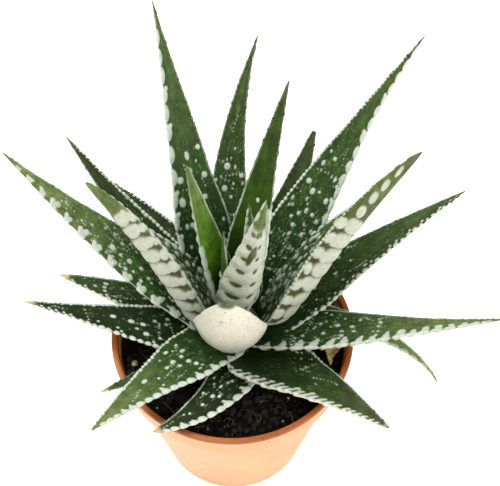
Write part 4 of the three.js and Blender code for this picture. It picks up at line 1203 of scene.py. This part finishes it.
class HAWORTHIA_OT_pot(Operator):
    """Turns up the pot's wall ring by ring from its foot, over the lip and down inside, and drills it"""

    bl_idname = "haworthia.pot"
    bl_label = "Pot"

    def execute(self, context):
        s = context.scene.haworthia_pot
        outline = self.outline(s)
        deselect()
        radius, height = outline[0]
        bpy.ops.mesh.primitive_circle_add(
            vertices=WALL_SIDES, radius=radius, location=(0, 0, height), fill_type="NGON"
        )
        pot = named(context.object, "nursery_pot")
        bpy.ops.object.mode_set(mode="EDIT")
        bpy.ops.mesh.select_mode(type="EDGE")
        bpy.ops.mesh.select_all(action="SELECT")
        for new_radius, new_height in outline[1:]:
            raise_ring(radius, height, new_radius, new_height)
            radius, height = new_radius, new_height
        bpy.ops.mesh.edge_face_add()
        bpy.ops.mesh.select_all(action="SELECT")
        bpy.ops.mesh.normals_make_consistent(inside=False)
        bpy.ops.object.mode_set(mode="OBJECT")
        for number in range(DRAIN_HOLES):
            self.drill(pot, s, number / DRAIN_HOLES * 2 * math.pi)
        only(pot)
        bpy.ops.object.transform_apply(location=True, rotation=True, scale=True)
        bpy.ops.object.shade_smooth_by_angle(angle=SHARP)
        finish_piece(pot, "pot", pot_material(s), "pot")
        return {"FINISHED"}

    def outline(self, s):
        """The wall's outline as radius and height, from the foot up outside and down inside."""
        top, foot = s.height, s.foot_diameter / 2
        collar, lip = top - s.collar_height, top - s.rim_height
        rim, inner_rim = s.rim_diameter / 2, s.rim_diameter / 2 - s.rim_width
        band = rim - s.rim_width / 2
        shoulder, inner_band = band - s.collar_step, band - s.wall
        return [
            (foot - 0.0008, 0.0), (foot, 0.0008), (foot + 0.0004, 0.003),
            (shoulder - 0.0003, collar - 0.0006), (shoulder, collar), (shoulder + 0.0012, collar + 0.0003),
            (band - 0.0003, collar + 0.0006), (band - 0.0002, collar + 0.0012),
            (band, lip - 0.0001), (band + 0.0002, lip), (rim - 0.0001, lip + 0.0003), (rim, lip + 0.0006),
            (rim, top - 0.0004), (rim - 0.00015, top - 0.00012), (rim - 0.0005, top),
            (inner_rim + 0.0005, top), (inner_rim + 0.00015, top - 0.00012), (inner_rim, top - 0.0004),
            (inner_band - 0.0001, top - 0.003), (inner_band - 0.0003, collar + 0.001),
            (shoulder - s.wall, collar - 0.001), (foot - s.wall + 0.0005, 0.003),
            (foot - s.wall - 0.0004, 0.0016),
        ]

    def drill(self, pot, s, angle):
        """Cuts one drain hole through the floor."""
        deselect()
        bpy.ops.mesh.primitive_cylinder_add(
            vertices=HOLE_SIDES, radius=s.drain_diameter / 2, depth=0.008,
            location=(s.drain_radius * math.cos(angle), s.drain_radius * math.sin(angle), 0),
        )
        cutter = bpy.context.object
        only(pot)
        hole = pot.modifiers.new("drain", "BOOLEAN")
        hole.operation, hole.object, hole.solver = "DIFFERENCE", cutter, "EXACT"
        bpy.ops.object.modifier_apply(modifier=hole.name)
        bpy.data.objects.remove(cutter)


# ---- soil, litter and stem -------------------------------------------------------------------


def soil_material(settings):
    """Moist peat: nearly black, browner and dustier where it has dried."""
    material, tree, shader = new_material("moist_peat")
    place = node(tree, "ShaderNodeTexCoord").outputs["Object"]
    patches = node(tree, "ShaderNodeTexNoise", {"Vector": place, "Scale": 190.0, "Detail": 6.0,
                                                "Roughness": 0.7}).outputs["Fac"]
    tint = mixed(tree, ranged(tree, patches, 0.45, 0.72), rgba(settings.peat), rgba(settings.dusty))
    tint = mottled(tree, tint, place, 1400.0, 0.5, 1.8)
    tint = mixed(tree, specks(tree, place, 900.0, 0.06, 0.3), tint, rgba(settings.fleck, 0.4))
    tree.links.new(tint, shader["Base Color"])
    shader["Roughness"].default_value = 0.85
    shader["Specular IOR Level"].default_value = 0.12
    roughen(tree, shader, 0.9, 0.0004, grain(tree, place, 1500.0, 5.0))
    return material


def litter_material(name, tint, scale):
    """A dull plant fibre or grain of one colour, mottled at the given scale."""
    material, tree, shader = new_material(name)
    place = node(tree, "ShaderNodeTexCoord").outputs["Object"]
    tree.links.new(mottled(tree, rgba(tint), place, scale, 0.35, 1.7), shader["Base Color"])
    shader["Roughness"].default_value = 0.9
    roughen(tree, shader, 0.6, 0.0002, grain(tree, place, 2500.0, 3.0))
    return material


def soil_height(settings, pot, x, y):
    """Height of the soil at x, y, in metres."""
    inside = pot.rim_diameter / 2 - 0.003
    share = min(1.0, math.hypot(x, y) / inside)
    level = pot.height - settings.below_rim + settings.mound * (1 - share * share)
    spot = Vector((x, y, 0))
    lumps = noise.fractal(spot * LUMP_DENSITY, 1.0, 2.0, 4) * LUMP_HEIGHT
    clods = noise.noise(spot * CLOD_DENSITY) * CLOD_HEIGHT
    grit = noise.turbulence(spot * GRIT_DENSITY, 3, False) * GRIT_HEIGHT
    return level + (lumps + clods) + grit


class HAWORTHIA_OT_soil(Operator):
    """Fills the pot with peat and roughens its top"""

    bl_idname = "haworthia.soil"
    bl_label = "Soil"

    def execute(self, context):
        s, pot = context.scene.haworthia_soil, context.scene.haworthia_pot
        columns, rings = 300, 84
        collar = pot.height - pot.collar_height
        band = pot.rim_diameter / 2 - pot.rim_width / 2
        foot, shoulder = pot.foot_diameter / 2, band - pot.collar_step
        edge = band - pot.wall - 0.0006
        outline = [(0.0, FLOOR_TOP)]
        for z in (FLOOR_TOP, 0.02, collar - 0.001):
            outline.append((foot + (shoulder - foot) * z / collar - pot.wall - 0.0003, z))
        outline += [(edge, collar + 0.0012), (edge, pot.height - s.below_rim - 0.0008)]
        angle = np.arange(columns) / columns * 2 * math.pi
        surface = []
        for radius, z in outline:
            surface.append([(radius * math.cos(a), radius * math.sin(a), z) for a in angle])
        for ring in range(rings + 1):
            radius = edge * (1 - ring / rings)
            places = [(radius * math.cos(a), radius * math.sin(a)) for a in angle]
            surface.append([(x, y, soil_height(s, pot, x, y)) for x, y in places])
        piece = wrapped_grid("potting_soil", np.array(surface))
        finish_piece(piece, "soil", soil_material(s), "soil")
        return {"FINISHED"}


def crumb_shapes(rng):
    """Three lumpy crumbs, each modelled once from an icosphere."""
    shapes = []
    for _ in range(3):
        deselect()
        bpy.ops.mesh.primitive_ico_sphere_add(subdivisions=2, radius=1)
        ball = bpy.context.object
        points = np.array([v.co[:] for v in ball.data.vertices])
        shift = Vector(rng.uniform(0, 50, 3))
        bumps = np.array([noise.noise(Vector(p) * 1.5 + shift) for p in points])
        points = points * (1 + 0.55 * bumps)[:, None]
        shapes.append((points, [list(f.vertices) for f in ball.data.polygons]))
        bpy.data.objects.remove(ball)
    return shapes


def scattered(rng, shapes, count, size, place, lift):
    """Copies of the shapes, each turned, stretched and laid on the soil, raised by lift of its height."""
    parts = []
    while len(parts) < count:
        spot = place()
        if spot is None:
            continue
        points, faces = shapes[rng.integers(len(shapes))]
        scale = size * rng.lognormal(0, CRUMB_SPREAD) * rng.uniform(*CRUMB_SHAPE, 3)
        angle = rng.uniform(0, FULL_TURN)
        turn = np.array(Matrix.Rotation(angle, 3, Vector(rng.normal(0, 1, 3)).normalized()))
        lifted = np.array(spot) + np.array([0, 0, scale.min() * lift])
        parts.append(((points * scale / 2) @ turn.T + lifted, faces))
    return parts


def three_sided_tube(spine, radius):
    """The points and faces of a thin closed strand along a spine."""
    side = np.cross(np.gradient(spine, axis=0), (0, 0, 1.0))
    side /= np.linalg.norm(side, axis=1, keepdims=True) + 1e-12
    lift = np.array([0, 0, 1.0])
    points = []
    for k in range(3):
        turn = k / 3 * 2 * math.pi
        points.append(spine + side * radius * math.cos(turn) + lift * radius * math.sin(turn))
    points = np.stack(points, 1).reshape(-1, 3)
    faces = [[i * 3 + k, i * 3 + (k + 1) % 3, i * 3 + 3 + (k + 1) % 3, i * 3 + 3 + k]
             for i in range(len(spine) - 1) for k in range(3)]
    last = (len(spine) - 1) * 3
    faces += [[2, 1, 0], [last, last + 1, last + 2]]
    return points, faces


class HAWORTHIA_OT_litter(Operator):
    """Strews crumbs, root fibres, pale grains and a scrap of a dried leaf over the soil"""

    bl_idname = "haworthia.litter"
    bl_label = "Litter"

    def execute(self, context):
        s, pot = context.scene.haworthia_soil, context.scene.haworthia_pot
        rng = np.random.default_rng(LITTER_SEED)
        edge = pot.rim_diameter / 2 - 0.0036

        def on_soil():
            """A place on the soil, or None where the draw falls outside the pot."""
            x, y = rng.uniform(-edge, edge, 2)
            return (x, y, soil_height(s, pot, x, y)) if math.hypot(x, y) < edge else None

        shapes = crumb_shapes(rng)
        crumbs = scattered(rng, shapes, s.crumbs, s.crumb_size, on_soil, 0.1)
        self.lay("peat_crumbs", crumbs, "peat_crumb", [channel * 1.6 for channel in s.peat], 400.0)
        grains = scattered(rng, shapes, s.flecks, s.crumb_size * 0.45, on_soil, 0.3)
        self.lay("pale_grains", grains, "pale_grain", s.fleck, 500.0)
        fibres = [self.fibre(rng, on_soil, s, pot) for _ in range(s.fibres)]
        self.lay("root_fibres", fibres, "root_fibre", s.fibre, 300.0)
        self.scrap(context, s, pot)
        return {"FINISHED"}

    def lay(self, name, parts, finish, tint, scale):
        finish_piece(join_mesh(name, parts), "soil", litter_material(finish, tint, scale))

    def fibre(self, rng, on_soil, s, pot):
        """One bent strand that lies on the soil."""
        start = None
        while start is None:
            start = on_soil()
        points, limit = 8, pot.rim_diameter / 2 - 0.0032
        heading, bend = rng.uniform(0, FULL_TURN), rng.normal(0, 0.35)
        radius, hop = rng.uniform(0.00007, 0.00016), rng.uniform(0.0004, 0.0011)
        x, y, _ = start
        spine = []
        for _ in range(points):
            if math.hypot(x, y) > limit:
                x, y = x * limit / math.hypot(x, y), y * limit / math.hypot(x, y)
            spine.append((x, y, soil_height(s, pot, x, y) + 0.0002 + rng.uniform(0, 0.0005)))
            x, y = x + hop * math.cos(heading), y + hop * math.sin(heading)
            heading += bend + rng.normal(0, 0.25)
        return three_sided_tube(np.array(spine), radius)

    def scrap(self, context, s, pot):
        """The withered end of an old leaf by the rim."""
        long, wide, x0, y0 = 0.0085, 0.0042, 0.0296, 0.0005
        deselect()
        bpy.ops.mesh.primitive_grid_add(x_subdivisions=24, y_subdivisions=10, size=1)
        piece = named(context.object, "dried_leaf_scrap")
        for v in piece.data.vertices:
            along, across = v.co.x + 0.5, v.co.y
            width = wide * (1 - along) ** 0.6 * (0.4 + 0.6 * min(1, along * 5))
            x = x0 - 0.0016 * along + across * width + 0.0006 * math.sin(along * 7)
            y = y0 - long * along + 0.0008 * math.sin(across * 9)
            lift = 0.0012 + 0.0012 * math.sin(along * 5 + across * 4) + 0.002 * along
            v.co = (x, y, pot.height - s.below_rim + lift)
        only(piece)
        thickness = piece.modifiers.new("thickness", "SOLIDIFY")
        thickness.thickness = 0.0003
        bpy.ops.object.modifier_apply(modifier=thickness.name)
        bpy.ops.object.shade_smooth()
        finish_piece(piece, "leaf", litter_material("dried_leaf", s.scrap, 350.0))


class HAWORTHIA_OT_stem(Operator):
    """Turns the short stem with the scars of shed leaves"""

    bl_idname = "haworthia.stem"
    bl_label = "Stem"

    def execute(self, context):
        low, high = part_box("stem")
        middle = (low + high) / 2
        radius = (high.x - low.x) / 2
        rows, columns = 60, 48
        share = np.linspace(0, 1, rows + 1)
        neck, crown_slope, scar_depth, scar_turns = 0.7, 1.7, 0.00025, 75
        outline = radius * np.minimum(1, neck + 2 * share)
        outline = outline * np.where(share > neck, 1 - (share - neck) * crown_slope, 1)
        outline = outline - scar_depth * (0.5 + 0.5 * np.cos(share * scar_turns))
        outline[0] = outline[-1] = 0
        angle = np.arange(columns) / columns * 2 * math.pi
        surface = np.stack([
            middle.x + outline[:, None] * np.cos(angle), middle.y + outline[:, None] * np.sin(angle),
            (low.z + (high.z - low.z) * share)[:, None] * np.ones(columns),
        ], -1)
        piece = wrapped_grid("short_stem", surface)
        tint = context.scene.haworthia_soil.stem
        finish_piece(piece, "stem", litter_material("fleshy_stem", tint, 250.0), "stem")
        return {"FINISHED"}


# ---- stage -----------------------------------------------------------------------------------


def area_light(name, size, watts, place, tint):
    """A round soft light that points at the middle of the plant."""
    light = bpy.data.lights.new(name, "AREA")
    light.shape, light.size, light.energy, light.color = "DISK", size, watts, tint
    lamp = bpy.data.objects.new(name, light)
    bpy.context.scene.collection.objects.link(lamp)
    lamp.location = place
    lamp.rotation_euler = (Vector(PLANT_MIDDLE) - Vector(place)).to_track_quat("-Z", "Y").to_euler()


class HAWORTHIA_OT_stage(Operator):
    """Sets out the pale floor, the soft lights and the camera"""

    bl_idname = "haworthia.stage"
    bl_label = "Stage"

    def execute(self, context):
        s, scene = context.scene.haworthia_stage, context.scene
        deselect()
        bpy.ops.mesh.primitive_plane_add(size=s.floor_size, location=(0, 0, 0))
        floor = named(context.object, "pale_floor")
        floor.data.materials.append(self.floor_material(s))
        world = bpy.data.worlds.new("soft_room")
        world.use_nodes = True
        background = world.node_tree.nodes["Background"].inputs
        background[0].default_value = (1.0, 1.0, 0.99, 1)
        background[1].default_value = s.room_light
        scene.world = world
        area_light("window", 0.6, s.window_light, (-0.35, 0.25, 0.8), (1.0, 0.99, 0.96))
        area_light("fill", 0.9, s.fill_light, (0.5, -0.7, 0.6), (1.0, 0.98, 0.95))
        camera = bpy.data.objects.new("camera", bpy.data.cameras.new("camera"))
        scene.collection.objects.link(camera)
        camera.data.sensor_width, camera.data.lens = 36, s.lens
        back = Vector((0, -math.cos(s.elevation), math.sin(s.elevation)))
        camera.location = Vector(CAMERA_AIM) + back * s.distance
        camera.rotation_euler = (math.pi / 2 - s.elevation, 0, 0)
        camera.data.clip_start, camera.data.clip_end = 0.01, 20
        scene.camera = camera
        scene.view_settings.view_transform = "Standard"
        return {"FINISHED"}

    def floor_material(self, s):
        """A matt white that shines a little, as the overexposed ground in a bright picture does."""
        material, _, shader = new_material("pale_floor")
        shader["Base Color"].default_value = rgba(s.floor)
        shader["Roughness"].default_value = 0.9
        shader["Emission Color"].default_value = (1, 1, 0.99, 1)
        shader["Emission Strength"].default_value = s.floor_glow
        return material


# ---- panel and start -------------------------------------------------------------------------


class HAWORTHIA_PT_panel(Panel):
    bl_label = "Potted haworthia"
    bl_idname = "HAWORTHIA_PT_panel"
    bl_space_type = "VIEW_3D"
    bl_region_type = "UI"
    bl_category = "Haworthia"

    def draw(self, context):
        for step in STEPS:
            self.layout.operator(step.bl_idname)
        for key in SETTINGS:
            group = getattr(context.scene, key)
            box = self.layout.box()
            for prop in group.__annotations__:
                box.prop(group, prop)


SETTINGS = {
    "haworthia_pot": PotSettings,
    "haworthia_soil": SoilSettings,
    "haworthia_leaf": LeafSettings,
    "haworthia_stage": StageSettings,
}
STEPS = [
    HAWORTHIA_OT_stage,
    HAWORTHIA_OT_pot,
    HAWORTHIA_OT_soil,
    HAWORTHIA_OT_litter,
    HAWORTHIA_OT_stem,
    HAWORTHIA_OT_inner_leaves,
    HAWORTHIA_OT_middle_leaves,
    HAWORTHIA_OT_low_leaves,
]


def register():
    for key, group in SETTINGS.items():
        bpy.utils.register_class(group)
        setattr(bpy.types.Scene, key, PointerProperty(type=group))
    for step in [*STEPS, HAWORTHIA_PT_panel]:
        bpy.utils.register_class(step)


def unregister():
    for step in reversed([*STEPS, HAWORTHIA_PT_panel]):
        bpy.utils.unregister_class(step)
    for key, group in SETTINGS.items():
        delattr(bpy.types.Scene, key)
        bpy.utils.unregister_class(group)


def main():
    register()
    bpy.ops.haworthia.stage()
    bpy.ops.haworthia.pot()
    bpy.ops.haworthia.soil()
    bpy.ops.haworthia.litter()
    bpy.ops.haworthia.stem()
    bpy.ops.haworthia.inner_leaves()
    bpy.ops.haworthia.middle_leaves()
    bpy.ops.haworthia.low_leaves()


if __name__ == "__main__":
    main()
